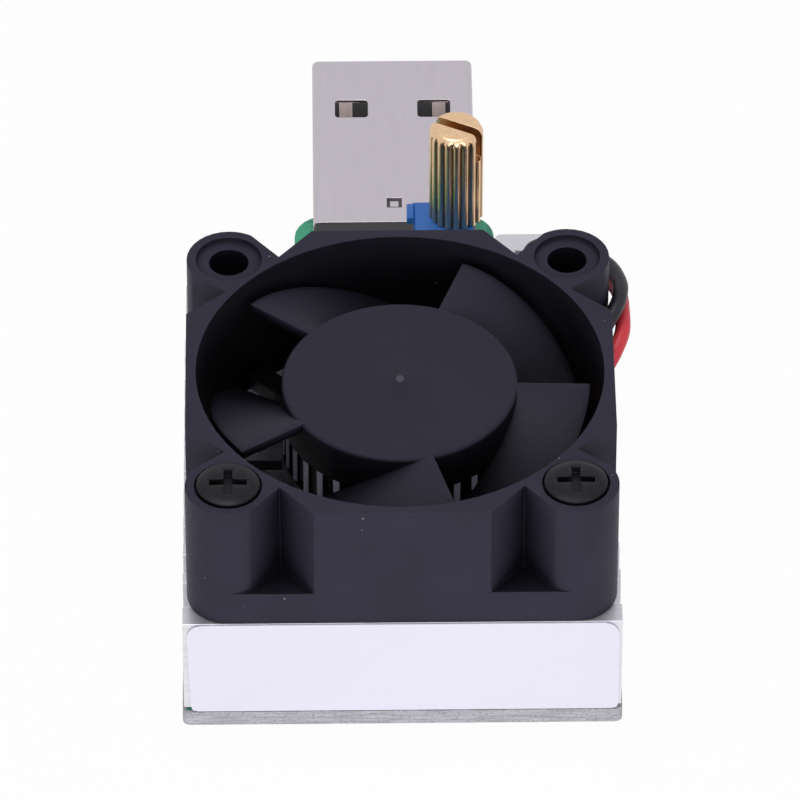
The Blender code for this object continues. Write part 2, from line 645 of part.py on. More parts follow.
def make_fan_frame():
    """Moulded frame: square with ears, eight side notches, a round duct, and four struts below."""
    frame = prism("fan_frame", rounded((0, 0), FAN_SIZE, FAN_SIZE, FAN_EAR, 8), 0, FAN_HEIGHT)
    notches = []
    for quarter in range(4):
        for mirrored in (1, -1):
            outline = [(x, mirrored * y) for x, y in notch_outline()]
            notch = prism("notch", outline, FAN_FLANGE, FAN_HEIGHT + FAN_FLANGE)
            notches.append(spun(notch, 90 * quarter))
    cut(frame, group("notches", notches))
    duct = rod("duct", FAN_BORE, -FAN_FLANGE, FAN_HEIGHT + FAN_FLANGE, Vector((0, 0, 0)), FINE + 8)
    cut(frame, duct)

    profile = [(0, UNDERCUT), (BASE_DISC, UNDERCUT), (BASE_DISC, BASE_THICKNESS),
               (TUBE_OUTER, BASE_THICKNESS), (TUBE_OUTER, TUBE_HEIGHT), (TUBE_INNER, TUBE_HEIGHT),
               (TUBE_INNER, BASE_THICKNESS), (0, BASE_THICKNESS)]
    add(frame, turned("motor_base", profile, Vector((0, 0, 0)), RING))
    for angle in STRUT_ANGLES:
        low = (BASE_DISC - 2 * STRUT_BITE, -STRUT_WIDTH / 2, 2 * UNDERCUT)
        high = (FAN_BORE + STRUT_BITE / 2, STRUT_WIDTH / 2, STRUT_HEIGHT)
        add(frame, spun(box("strut", low, high), angle))

    holes = []
    for sx in (-1, 1):
        for sy in (-1, 1):
            place = fan_corner(sx, sy)
            holes.append(rod("hole", FAN_HOLE, -FAN_FLANGE, FAN_HEIGHT + FAN_FLANGE, place))
            sink = FAN_HEIGHT - FAN_COUNTERBORE_DEPTH
            cut(frame, rod("sink", FAN_COUNTERBORE, sink, FAN_HEIGHT + FAN_FLANGE, place))
    cut(frame, group("holes", holes))
    edge = FAN_SIZE / 2 + STRUT_WIDTH
    cut(frame, box("lead_slot", (LEAD_SLOT_X, LEAD_SLOT_LOW, -FAN_FLANGE),
                   (edge, LEAD_SLOT_HIGH, FAN_FLANGE + UNDERCUT)))
    cut(frame, box("lead_tunnel", (LEAD_TUNNEL_X, LEAD_SLOT_LOW - UNDERCUT, -FAN_FLANGE),
                   (LEAD_SLOT_X + UNDERCUT, LEAD_SLOT_HIGH + UNDERCUT, LEAD_TUNNEL_HEIGHT)))
    frame.data.transform(Matrix.Translation(FAN_CENTRE))
    paint(smooth(frame), (46, 44, 52), 0.5)


def make_fan_screws():
    """Two cross-recess screws in the front ears, down between the outer fins of the heatsink."""
    head_low = FAN_LOW + FAN_HEIGHT - FAN_COUNTERBORE_DEPTH + SEAT_GAP
    head_edge = head_low + SCREW_HEAD_EDGE
    head_top = head_edge + SCREW_HEAD_DOME
    tip = FAN_LOW - SCREW_BITE
    for side, sx in zip(SIDES, (-1, 1)):
        place = fan_corner(sx, -1) + Vector((0, FAN_Y, 0))
        profile = [(0, tip), (SCREW_RADIUS / 2, tip), (SCREW_RADIUS, tip + SCREW_RADIUS),
                   (SCREW_RADIUS, head_low), (SCREW_HEAD, head_low), (SCREW_HEAD, head_edge),
                   (SCREW_HEAD * 0.75, head_edge + SCREW_HEAD_DOME * 0.7), (0, head_top)]
        screw = turned("fan_screw_" + side, profile, place)
        cut(screw, cross_recess("recess", place, head_top, RECESS_DEPTH, RECESS_LENGTH))
        paint(smooth(screw), (34, 33, 36), 0.35, 0.6)


def blade_point(radial, chord, side):
    """A point on an impeller blade: radial 0 to 1 to the tip, chord 0 to 1 from the leading edge."""
    root = HUB_RADIUS - BLADE_ROOT - RIB_DEPTH / 2
    radius = root + (BLADE_TIP - root) * radial
    angle = -math.radians(BLADE_SWEEP) * chord
    fall = BLADE_DROP * (0.25 * chord + 0.75 * math.sin(chord * math.pi / 2) ** 1.2)
    slope = BLADE_DROP / (math.radians(BLADE_SWEEP) * radius)
    half = BLADE_THICKNESS / 2 * (1.0 - 0.35 * chord)
    normal = Vector((0, -slope, 1)).normalized() * half * side
    place = Vector((radius, normal.y, HUB_HIGH - BLADE_THICKNESS / 2 - fall + normal.z))
    return Matrix.Rotation(angle, 3, "Z") @ place


def make_blade():
    """A twisted blade, made as two skins of a grid joined round the edge."""
    chords = 10
    radials = 3
    bm = bmesh.new()
    skins = []
    for side in (1, -1):
        skins.append([[bm.verts.new(blade_point(j / radials, i / chords, side))
                       for j in range(radials + 1)] for i in range(chords + 1)])
    for skin in skins:
        for i in range(chords):
            for j in range(radials):
                bm.faces.new((skin[i][j], skin[i + 1][j], skin[i + 1][j + 1], skin[i][j + 1]))
    rim = [(i, 0) for i in range(chords)] + [(chords, j) for j in range(radials)]
    rim += [(i, radials) for i in range(chords, 0, -1)] + [(0, j) for j in range(radials, 0, -1)]
    for k, (i, j) in enumerate(rim):
        m, n = rim[(k + 1) % len(rim)]
        bm.faces.new((skins[0][i][j], skins[0][m][n], skins[1][m][n], skins[1][i][j]))
    bmesh.ops.triangulate(bm, faces=bm.faces)
    return make_object("blade", bm)


def make_impeller():
    """Hub cup with a ribbed skirt, five twisted blades and a boss for the shaft."""
    waist = HUB_RADIUS - RIB_DEPTH
    boss = SHAFT_RADIUS + SEAT_GAP + SHAFT_BOSS_WALL
    socket = SHAFT_RADIUS + SEAT_GAP
    boss_low = TUBE_HEIGHT + RUNNING_GAP
    profile = [
        (0, HUB_HIGH), (HUB_RADIUS - HUB_EDGE, HUB_HIGH), (HUB_RADIUS, HUB_HIGH - HUB_EDGE),
        (HUB_RADIUS, RIB_HIGH), (waist, RIB_HIGH), (waist, RIB_LOW), (HUB_RADIUS, RIB_LOW),
        (HUB_RADIUS, HUB_LIFT), (HUB_INNER, HUB_LIFT), (HUB_INNER, HUB_CEILING),
        (boss, HUB_CEILING), (boss, boss_low), (socket, boss_low), (socket, SOCKET_HIGH), (0, SOCKET_HIGH),
    ]
    impeller = turned("impeller", profile, Vector((0, 0, 0)), FINE)
    ribs = []
    for i in range(RIB_COUNT):
        rib = box("rib", (waist - RIB_DEPTH, -RIB_WIDTH / 2, RIB_LOW - UNDERCUT),
                  (HUB_RADIUS - UNDERCUT, RIB_WIDTH / 2, RIB_HIGH + UNDERCUT))
        ribs.append(spun(rib, i * 360 / RIB_COUNT))
    add(impeller, group("ribs", ribs))
    blades = [spun(make_blade(), BLADE_FIRST_ANGLE + i * 360 / BLADE_COUNT) for i in range(BLADE_COUNT)]
    add(impeller, group("blades", blades))
    impeller.data.transform(Matrix.Translation(FAN_CENTRE))
    paint(smooth(origin_at(impeller, FAN_CENTRE)), (44, 42, 50), 0.42)


def make_rotor_inside():
    """Steel yoke ring, ring magnet, shaft and the clip that keeps the shaft in its bearing."""
    yoke = tube("rotor_yoke", YOKE_OUTER, YOKE_INNER, YOKE_LIFT, HUB_CEILING - SEAT_GAP, FAN_CENTRE, RING)
    paint(smooth(origin_at(yoke, FAN_CENTRE)), (150, 150, 154), 0.35, 1.0)
    magnet = tube("rotor_magnet", MAGNET_OUTER, MAGNET_INNER, MAGNET_LOW, MAGNET_HIGH, FAN_CENTRE, RING)
    paint(smooth(origin_at(magnet, FAN_CENTRE)), (58, 54, 52), 0.7)

    shaft_top = SOCKET_HIGH - SEAT_GAP
    groove = SHAFT_RADIUS - CLIP_GROOVE
    clip_high = CLIP_LOW + CLIP_THICKNESS
    profile = [(0, SHAFT_LIFT), (SHAFT_RADIUS, SHAFT_LIFT), (SHAFT_RADIUS, CLIP_LOW - SEAT_GAP),
               (groove, CLIP_LOW - SEAT_GAP), (groove, clip_high + SEAT_GAP),
               (SHAFT_RADIUS, clip_high + SEAT_GAP), (SHAFT_RADIUS, shaft_top), (0, shaft_top)]
    shaft = turned("fan_shaft", profile, FAN_CENTRE)
    paint(smooth(origin_at(shaft, FAN_CENTRE)), (190, 190, 194), 0.2, 1.0)

    clip = tube("retaining_clip", CLIP_RADIUS, groove + SEAT_GAP, CLIP_LOW, clip_high, FAN_CENTRE)
    paint(origin_at(clip, FAN_CENTRE), (205, 205, 198), 0.6)


def pole_outline():
    """Laminated core: a ring with four T-shaped poles, drawn once round."""
    side = POLE_WIDTH / 2
    shoe_inner = STATOR_RADIUS - POLE_SHOE
    half = math.radians(POLE_HALF_ANGLE)
    throat = (shoe_inner * math.cos(half), shoe_inner * math.sin(half))
    neck = math.sqrt(shoe_inner ** 2 - side ** 2)
    pole = [(CORE_HUB, -side), (neck, -side), (throat[0], -throat[1])]
    pole += arc((0, 0), STATOR_RADIUS, -POLE_HALF_ANGLE, POLE_HALF_ANGLE, 6)
    pole += [(throat[0], throat[1]), (neck, side), (CORE_HUB, side)]
    outline = []
    for i in range(POLE_COUNT):
        turn = Matrix.Rotation(math.tau * i / POLE_COUNT, 2)
        outline += [tuple(turn @ Vector(point)) for point in pole]
    return outline


def make_stator():
    """Bearing sleeve, laminated core, four coils and the driver board, all round the tube."""
    sleeve = tube("bearing_sleeve", SLEEVE_OUTER, SLEEVE_INNER, SLEEVE_LOW, TUBE_HEIGHT, FAN_CENTRE)
    paint(smooth(sleeve), (176, 136, 84), 0.35, 1.0)

    core_high = CORE_LOW + CORE_HEIGHT
    core = prism("stator_core", pole_outline(), CORE_LOW, core_high)
    cut(core, rod("bore", CORE_BORE, 0, FAN_HEIGHT, Vector((0, 0, 0))))
    core.data.transform(Matrix.Translation(FAN_CENTRE))
    paint(core, (120, 122, 128), 0.4, 1.0)

    inner = POLE_WIDTH / 2 + SEAT_GAP
    outer = inner + COIL_BUILD
    start = CORE_HUB + SEAT_GAP
    for i in range(POLE_COUNT):
        low = (start, -outer, CORE_LOW - SEAT_GAP - COIL_BUILD)
        high = (start + COIL_LENGTH, outer, core_high + SEAT_GAP + COIL_BUILD)
        coil = box("stator_coil_%d" % (i + 1), low, high)
        low = (0, -inner, CORE_LOW - SEAT_GAP)
        high = (FAN_BORE, inner, core_high + SEAT_GAP)
        cut(coil, box("window", low, high))
        spun(coil, i * 360 / POLE_COUNT)
        coil.data.transform(Matrix.Translation(FAN_CENTRE))
        paint(coil, (164, 84, 44), 0.35, 0.8)

    low = BASE_THICKNESS + SEAT_GAP
    high = low + STATOR_BOARD_THICKNESS
    board = tube("stator_board", STATOR_RADIUS, CORE_BORE, low, high, FAN_CENTRE, 32)
    paint(board, (40, 110, 70), 0.45)


def smooth_route(points):
    """Reads points at an even step from a smooth curve through the route's own points."""
    places = [Vector(p) * MM + Vector((0, FAN_Y, FAN_HIGH)) for p in points]
    ends = [2 * places[0] - places[1]] + places + [2 * places[-1] - places[-2]]
    fine = []
    for i in range(len(places) - 1):
        a, b, c, d = ends[i:i + 4]
        for k in range(12):
            t = k / 12
            fine.append(0.5 * (2 * b + (c - a) * t + (2 * a - 5 * b + 4 * c - d) * t * t
                               + (3 * b - a - 3 * c + d) * t ** 3))
    fine.append(places[-1])
    total = sum((fine[i + 1] - fine[i]).length for i in range(len(fine) - 1))
    count = round(total / LEAD_STEP)
    step = total / count
    route = [fine[0]]
    travelled = 0.0
    for i in range(len(fine) - 1):
        travelled += (fine[i + 1] - fine[i]).length
        if travelled >= step * len(route) and len(route) < count:
            route.append(fine[i + 1])
    return route + [fine[-1]]


def make_lead(name, points, colour):
    curve = bpy.data.curves.new(name, "CURVE")
    curve.dimensions = "3D"
    curve.bevel_depth = LEAD_DIAMETER / 2
    curve.bevel_resolution = 2
    curve.use_fill_caps = True
    route = smooth_route(points)
    spline = curve.splines.new("POLY")
    spline.points.add(len(route) - 1)
    for point, place in zip(spline.points, route):
        point.co = (*place, 1.0)
    lead = bpy.data.objects.new(name, curve)
    bpy.context.scene.collection.objects.link(lead)
    paint(lead, colour, 0.4)


def upright(name, place, half, low, high):
    """A square bar that stands on a place."""
    return box(name, (place.x - half, place.y - half, low), (place.x + half, place.y + half, high))


def make_fan_header():
    """Open-topped white header on the board, with its two square pins."""
    places = header_pin_places()
    header = prism("fan_header", rounded((HEADER_X, HEADER_Y), HEADER_WIDTH, HEADER_DEPTH, HEADER_CORNER, 2),
                   HEADER_LOW, HEADER_LOW + HEADER_HEIGHT)
    half = (HEADER_WIDTH / 2 - HEADER_WALL, HEADER_DEPTH / 2 - HEADER_WALL)
    cut(header, box("room", (HEADER_X - half[0], HEADER_Y - half[1], HEADER_FLOOR_TOP),
                    (HEADER_X + half[0], HEADER_Y + half[1], FAN_HIGH)))
    slots = []
    for place in places:
        slots.append(box("slot", (place.x - HEADER_SLOT / 2, HEADER_Y, HEADER_FLOOR_TOP + HEADER_FLOOR),
                         (place.x + HEADER_SLOT / 2, HEADER_Y + HEADER_DEPTH, FAN_HIGH)))
    cut(header, group("slots", slots))
    holes = [upright("hole", place, PIN_SIZE / 2 + SEAT_GAP, 0, FAN_HIGH) for place in places]
    cut(header, group("holes", holes))
    paint(header, (232, 230, 222), 0.45)

    for i, place in enumerate(places):
        pin = upright("header_pin_%d" % (i + 1), place, PIN_SIZE / 2, 0, HEADER_LOW + PIN_HEIGHT)
        add(pin, solder_cone(place))
        paint(pin, (200, 198, 190), 0.25, 1.0)


def make_fan_plug():
    """The white two-way housing on the fan's leads, with a crimped terminal round each pin."""
    places = header_pin_places()
    low = HEADER_FLOOR_TOP + SEAT_GAP
    top = HEADER_LOW + HOUSING_HEIGHT
    half = (HEADER_WIDTH / 2 - HEADER_WALL - SEAT_GAP, HEADER_DEPTH / 2 - HEADER_WALL - SEAT_GAP)
    housing = box("fan_plug_housing", (HEADER_X - half[0], HEADER_Y - half[1], low),
                  (HEADER_X + half[0], HEADER_Y + half[1], top - HOUSING_RIM))
    size = (HEADER_WIDTH - HOUSING_RIM, HEADER_DEPTH - HOUSING_RIM)
    rim = rounded((HEADER_X, HEADER_Y), size[0], size[1], HOUSING_CORNER, 3)
    add(housing, prism("rim", rim, HEADER_LOW + HEADER_HEIGHT + SEAT_GAP, top))
    room = TERMINAL_SIZE / 2 + SEAT_GAP
    rooms = [upright("room", place, room, HEADER_FLOOR_TOP, FAN_HIGH) for place in places]
    cut(housing, group("rooms", rooms))
    paint(housing, (238, 236, 240), 0.42)

    outer = TERMINAL_SIZE / 2
    start = low + SEAT_GAP
    for i, place in enumerate(places):
        terminal = upright("crimp_terminal_%d" % (i + 1), place, outer, start, start + TERMINAL_HEIGHT)
        cut(terminal, upright("bore", place, outer - TERMINAL_WALL, 0, FAN_HIGH))
        paint(terminal, (206, 188, 140), 0.3, 1.0)


def make_trimmer_case():
    """Blue case open below, its sealed-in base, the cermet element and three pins."""
    case = box("trimmer_case", (TRIMMER_LEFT, TRIMMER_FRONT, TRIMMER_LOW),
               (TRIMMER_RIGHT, TRIMMER_BACK, TRIMMER_HIGH))
    lip_front = TRIMMER_BACK - TRIMMER_LIP_DEPTH
    add(case, box("lip", (TRIMMER_LEFT - TRIMMER_LIP, lip_front, TRIMMER_HIGH - TRIMMER_LIP_HEIGHT),
                  (TRIMMER_LEFT + TRIMMER_WALL / 2, TRIMMER_BACK - UNDERCUT, TRIMMER_HIGH - UNDERCUT)))
    cut(case, box("cavity", (CAVITY_LEFT, CAVITY_FRONT, 0), (CAVITY_RIGHT, CAVITY_BACK, CAVITY_HIGH)))
    axis = Vector((KNOB_X, KNOB_Y, 0))
    cut(case, rod("neck", STEM_RADIUS + BEARING_GAP, 0, FAN_HIGH, axis, SMALL))
    seal_room = STEM_RADIUS + 2 * SEAL_RADIUS + BEARING_GAP
    room_high = CAVITY_HIGH + 2 * SEAL_RADIUS
    cut(case, rod("seal_room", seal_room, CAVITY_HIGH - SEAT_GAP, room_high, axis, SMALL))
    paint(case, (44, 104, 178), 0.42)

    fit = SEAT_GAP
    base = box("trimmer_base", (CAVITY_LEFT + fit, CAVITY_FRONT + fit, TRIMMER_LOW),
               (CAVITY_RIGHT - fit, CAVITY_BACK - fit, CAVITY_LOW))
    hole = TRIMMER_PIN_RADIUS + SEAT_GAP
    cut(base, group("holes", [rod("hole", hole, 0, FAN_HIGH, p, TINY) for p in trimmer_pin_places()]))
    paint(base, (60, 86, 130), 0.5)

    for i, p in enumerate(trimmer_pin_places()):
        pin = rod("trimmer_pin_%d" % (i + 1), TRIMMER_PIN_RADIUS, 0, CAVITY_LOW + SEAT_GAP, p, TINY)
        add(pin, solder_cone(p))
        paint(smooth(pin), (198, 196, 190), 0.3, 1.0)

    left = CAVITY_LEFT + fit
    element = box("resistance_element", (left, CAVITY_FRONT + fit, CAVITY_LOW + 2 * SEAT_GAP),
                  (left + ELEMENT_THICKNESS, CAVITY_BACK - fit, CAVITY_HIGH - fit))
    paint(element, (226, 224, 216), 0.55)


def knob_outline():
    """Straight knurl: round-topped ridges with a V-shaped groove between each two."""
    points = []
    pitch = 360 / KNOB_FLUTES
    for i in range(KNOB_FLUTES):
        points += arc((0, 0), KNOB_RADIUS, (i - 0.3) * pitch, (i + 0.3) * pitch, 2)
        points += arc((0, 0), KNOB_RADIUS - KNOB_FLUTE_DEPTH, (i + 0.5) * pitch, (i + 0.5) * pitch, 1)[:1]
    return points


def make_trimmer_screw():
    """Brass knob with its screwdriver slot, in one piece with the long adjusting screw."""
    axis = Vector((KNOB_X, KNOB_Y, 0))
    low = TRIMMER_HIGH + SEAT_GAP
    bm = bmesh.new()
    face = bm.faces.new([bm.verts.new((x, y, low)) for x, y in knob_outline()])
    rises = (
        (KNOB_HEIGHT - KNOB_ROUNDING, 1.0),
        (KNOB_ROUNDING * 0.7, 1.0 - 0.3 * KNOB_ROUNDING / KNOB_RADIUS),
        (KNOB_ROUNDING * 0.3, 1.0 - 0.5 * KNOB_ROUNDING / KNOB_RADIUS),
    )
    for rise, scale in rises:
        inside = face if len(bm.faces) > 1 else None
        side = bmesh.ops.extrude_face_region(bm, geom=[face])["geom"]
        verts = [item for item in side if isinstance(item, bmesh.types.BMVert)]
        face = [item for item in side if isinstance(item, bmesh.types.BMFace)][0]
        if inside:
            bmesh.ops.delete(bm, geom=[inside], context="FACES_ONLY")
        bmesh.ops.translate(bm, verts=verts, vec=(0, 0, rise))
        bmesh.ops.scale(bm, verts=verts, vec=(scale, scale, 1))
    knob = make_object("trimmer_knob", bm)
    knob.data.transform(Matrix.Translation(axis))
    stem_low = CAVITY_LOW + SEAT_GAP
    add(knob, rod("stem", STEM_RADIUS, stem_low, low + KNOB_ROUNDING, axis, SMALL))
    slot_low = low + KNOB_HEIGHT - KNOB_SLOT_DEPTH
    slot = box("slot", (-2 * KNOB_RADIUS, -KNOB_SLOT_WIDTH / 2, slot_low),
               (2 * KNOB_RADIUS, KNOB_SLOT_WIDTH / 2, low + 2 * KNOB_HEIGHT))
    spun(slot, KNOB_SLOT_ANGLE)
    slot.data.transform(Matrix.Translation(axis))
    cut(knob, slot)
    paint(smooth(origin_at(knob, axis)), (190, 150, 88), 0.28, 1.0)

    ring = circle((STEM_RADIUS + BEARING_GAP / 2 + SEAL_RADIUS, CAVITY_HIGH + SEAL_RADIUS - SEAT_GAP),
                  SEAL_RADIUS - SEAT_GAP / 2, 6)
    seal = turned("trimmer_seal", ring, axis, SMALL)
    paint(smooth(seal), (40, 40, 42), 0.6)


def make_trimmer_carriage():
    """Nylon half nut that climbs the screw, with its spring wiper on the side of the element."""
    middle = (CAVITY_LOW + CAVITY_HIGH) / 2
    low = middle - CARRIAGE_HEIGHT / 2
    high = middle + CARRIAGE_HEIGHT / 2
    left = CAVITY_LEFT + SEAT_GAP + ELEMENT_THICKNESS + SPRING_ROOM
    back = KNOB_Y - STEM_RADIUS * 0.3
    carriage = box("trimmer_carriage", (left, back - CARRIAGE_DEPTH, low),
                   (CAVITY_RIGHT - BEARING_GAP, back, high))
    axis = Vector((KNOB_X, KNOB_Y, 0))
    cut(carriage, rod("thread", STEM_RADIUS + BEARING_GAP, 0, FAN_HIGH, axis, SMALL))
    paint(carriage, (232, 228, 210), 0.5)

    start = left - SEAT_GAP
    rub = CAVITY_LEFT + SEAT_GAP + ELEMENT_THICKNESS + BEARING_GAP
    thick = SPRING_THICKNESS
    front = back - CARRIAGE_DEPTH * 0.9
    end = back - CARRIAGE_DEPTH * 0.1
    bend = (front + end) / 2
    outline = [(start, front), (start, bend), (rub + thick, end), (rub, end), (rub, end - thick),
               (start - thick, bend - thick), (start - thick, front)]
    wiper = prism("trimmer_wiper", outline, low + BEARING_GAP, high - BEARING_GAP)
    paint(wiper, (196, 168, 96), 0.25, 1.0)


def make_usb_shell():
    """Folded steel shell with its four latch windows and two tabs soldered through the board."""
    middle = (PLUG_LOW + PLUG_HIGH) / 2
    outline = rounded((0, middle), PLUG_WIDTH, PLUG_HEIGHT, PLUG_CORNER)
    shell = prism("usb_shell", outline, PLUG_REAR, PLUG_TIP, "Y")
    for place in shell_tab_places():
        half = (PLUG_WALL / 2, TAB_LENGTH / 2)
        tab = box("tab", (place.x - half[0], place.y - half[1], BOARD_BOTTOM - TAIL_HEIGHT),
                  (place.x + half[0], place.y + half[1], middle))
        add(shell, tab)
    inner = rounded((0, middle), PLUG_WIDTH - 2 * PLUG_WALL, PLUG_HEIGHT - 2 * PLUG_WALL,
                    PLUG_CORNER - PLUG_WALL)
    cut(shell, prism("inside", inner, PLUG_REAR - PLUG_WALL, PLUG_TIP + PLUG_WALL, "Y"))
    windows = []
    for side in (-1, 1):
        centre = (side * LATCH_CENTRE_X, PLUG_TIP - LATCH_FROM_TIP)
        outline = rounded(centre, LATCH_WIDTH, LATCH_LENGTH, LATCH_CORNER, 2)
        windows.append(prism("window", outline, PLUG_LOW - PLUG_WALL, PLUG_HIGH + PLUG_WALL))
    cut(shell, group("windows", windows))
    half = DIMPLE_SIZE / 2
    y = PLUG_REAR + DIMPLE_FROM_REAR
    cut(shell, box("dimple", (-half, y - half, PLUG_HIGH - DIMPLE_DEPTH), (half, y + half, PLUG_HIGH + MM)))
    paint(smooth(shell), (188, 184, 184), 0.3, 1.0)


def make_usb_inside():
    """Black rear block with its hood, black tongue, and four contacts that run back to the board."""
    inside = SEAT_GAP + PLUG_WALL
    floor = PLUG_LOW + inside
    ceiling = PLUG_HIGH - inside
    middle = (floor + ceiling) / 2
    half = PLUG_WIDTH / 2 - inside
    cap_rear = PLUG_REAR + BACK_CAP_RECESS
    cap_front = cap_rear + BACK_CAP_DEPTH
    rail = floor + TONGUE_THICKNESS + SEAT_GAP
    corner = PLUG_CORNER - PLUG_WALL
    outline = rounded((0, middle), 2 * half, ceiling - floor, corner)
    cap = prism("usb_back_cap", outline, cap_rear, cap_front, "Y")
    hood_low = rail + CONTACT_THICKNESS + 2 * SEAT_GAP
    hood_front = PLUG_REAR - SEAT_GAP
    narrow = half - corner
    add(cap, box("neck", (-narrow, hood_front - UNDERCUT, hood_low), (narrow, cap_rear + UNDERCUT, ceiling)))
    wide = PLUG_WIDTH / 2 - 2 * SEAT_GAP
    add(cap, box("hood", (-wide, PLUG_REAR - BACK_CAP_HOOD, hood_low), (wide, hood_front, PLUG_HIGH)))
    room = CONTACT_WIDTH / 2 + SEAT_GAP
    slots = [box("slot", (x - room, PLUG_REAR - MM, rail - SEAT_GAP),
                 (x + room, cap_front + MM, rail + CONTACT_THICKNESS + SEAT_GAP)) for x in CONTACT_PITCHES]
    cut(cap, group("slots", slots))
    paint(cap, (34, 33, 36), 0.55)

    tongue_high = floor + TONGUE_THICKNESS
    side = [(-half, tongue_high)] + arc((-half + corner, floor + corner), corner, 180, 270, 3)
    outline = side + [(-x, z) for x, z in reversed(side)]
    tongue = prism("usb_insulator", outline, cap_front + SEAT_GAP, PLUG_TIP - INSULATOR_SETBACK, "Y")
    paint(tongue, (36, 35, 38), 0.5)

    thick = CONTACT_THICKNESS
    foot_low = BOARD_TOP + SEAT_GAP
    heel = PLUG_REAR - 2 * BACK_CAP_RECESS
    profile = [(PLUG_TIP - CONTACT_SETBACK, rail), (PLUG_TIP - CONTACT_SETBACK, rail + thick),
               (heel - thick, rail + thick), (heel - thick, foot_low + thick),
               (heel - CONTACT_FOOT, foot_low + thick), (heel - CONTACT_FOOT, foot_low),
               (heel, foot_low), (heel, rail)]
    width = CONTACT_WIDTH / 2
    for i, x in enumerate(CONTACT_PITCHES):
        contact = prism("usb_contact_%d" % (i + 1), profile, x - width, x + width, "X")
        paint(contact, (212, 196, 186), 0.25, 1.0)


def hanging_box(name, place, size, top):
    """A block below the board, centred on a place measured from the fan's axis."""
    x, y = place[0], FAN_Y + place[1]
    low = (x - size[0] / 2, y - size[1] / 2, top - size[2])
    high = (x + size[0] / 2, y + size[1] / 2, top)
    return box(name, low, high)


def make_power_transistor():
    """Power transistor right under the heatsink, moulded round its heat tab and two legs."""
    top = BOARD_BOTTOM - SEAT_GAP
    width, depth, height = TRANSISTOR_SIZE
    body_top = top - LEG_THICKNESS / 2
    body = hanging_box("power_transistor", (0, 0), (width, depth, height - LEG_THICKNESS / 2), body_top)
    tab = (TRANSISTOR_TAB_WIDTH, depth + TRANSISTOR_TAB - UNDERCUT, LEG_THICKNESS)
    add(body, hanging_box("tab", (0, TRANSISTOR_TAB / 2), tab, top))
    leg_width, leg_length = TRANSISTOR_LEG
    for side in (-1, 1):
        place = (side * TRANSISTOR_LEG_PITCH, -depth / 2 - leg_length / 2 + LEG_THICKNESS)
        add(body, hanging_box("leg", place, (leg_width, leg_length, LEG_THICKNESS), top))
    paint(body, (32, 32, 34), 0.6)


def leaded_part(name, place, size, legs):
    """A moulded part that stands on thin legs, each given by its place from the part's middle."""
    top = BOARD_BOTTOM - SEAT_GAP
    body = hanging_box(name, place, size, top - THIN_LEG / 2)
    leg_width, leg_length = THIN_LEG_SIZE
    for x, side in legs:
        y = side * (size[1] / 2 + leg_length / 2 - THIN_LEG)
        leg = hanging_box("leg", (place[0] + x, place[1] + y), (leg_width, leg_length, THIN_LEG), top)
        add(body, leg)
    paint(body, (34, 34, 36), 0.55)


def make_small_parts():
    """Sense resistor, amplifier, voltage reference and chip parts on the board's underside."""
    top = BOARD_BOTTOM - SEAT_GAP
    sense = hanging_box("sense_resistor", SENSE_PLACE, SENSE_SIZE, top)
    paint(sense, (38, 38, 40), 0.5)
    legs = [((i - 1.5) * AMPLIFIER_LEG_PITCH, side) for side in (-1, 1) for i in range(4)]
    leaded_part("amplifier", AMPLIFIER_PLACE, AMPLIFIER_SIZE, legs)
    legs = [(-REFERENCE_LEG_PITCH, -1), (REFERENCE_LEG_PITCH, -1), (0, 1)]
    leaded_part("voltage_reference", REFERENCE_PLACE, REFERENCE_SIZE, legs)
    resistor_places = [(x, y) for y in RESISTOR_ROWS for x in RESISTOR_COLUMNS]
    for i, place in enumerate(resistor_places):
        paint(hanging_box("chip_resistor_%d" % (i + 1), place, CHIP_SIZE, top), (36, 36, 38), 0.45)
    for i, place in enumerate(CAPACITOR_PLACES):
        paint(hanging_box("chip_capacitor_%d" % (i + 1), place, CAPACITOR_SIZE, top), (170, 128, 92), 0.5)


clear_scene()
make_board()
make_heatsink()
make_pad_and_label()
make_under_screws()
make_fan_frame()
make_fan_screws()
make_impeller()
make_rotor_inside()
make_stator()
make_lead("fan_lead_black", BLACK_ROUTE, (30, 29, 33))
make_lead("fan_lead_red", RED_ROUTE, (196, 40, 52))
make_fan_header()
make_fan_plug()
make_trimmer_case()
make_trimmer_screw()
make_trimmer_carriage()
make_usb_shell()
make_usb_inside()
make_power_transistor()
make_small_parts()
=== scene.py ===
import math

import bmesh
import bpy
from mathutils import Matrix, Vector


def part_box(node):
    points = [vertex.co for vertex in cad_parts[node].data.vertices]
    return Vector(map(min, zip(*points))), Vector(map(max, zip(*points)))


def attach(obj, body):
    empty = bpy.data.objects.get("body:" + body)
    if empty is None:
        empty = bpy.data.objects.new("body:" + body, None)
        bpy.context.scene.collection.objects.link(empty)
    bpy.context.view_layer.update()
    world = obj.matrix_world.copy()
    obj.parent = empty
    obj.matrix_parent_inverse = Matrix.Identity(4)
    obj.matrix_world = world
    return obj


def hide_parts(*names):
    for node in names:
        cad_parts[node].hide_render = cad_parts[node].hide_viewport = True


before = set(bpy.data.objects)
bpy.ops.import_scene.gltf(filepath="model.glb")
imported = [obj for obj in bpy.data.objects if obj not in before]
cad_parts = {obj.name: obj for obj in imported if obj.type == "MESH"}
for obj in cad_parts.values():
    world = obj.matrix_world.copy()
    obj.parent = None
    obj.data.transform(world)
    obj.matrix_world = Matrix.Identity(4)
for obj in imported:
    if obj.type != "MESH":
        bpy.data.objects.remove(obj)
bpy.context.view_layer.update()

scene = bpy.context.scene


# Camera
# The photograph is taken over the fan's front edge, 41 degrees up, through a long lens, with the
# object a little above the middle of the frame.

VIEW_AZIMUTH = math.radians(-0.7)
VIEW_ELEVATION = math.radians(41.35)
VIEW_DISTANCE = 0.62
FAN_TOP_CENTRE = Vector((0.0, -0.0179, 0.0221))

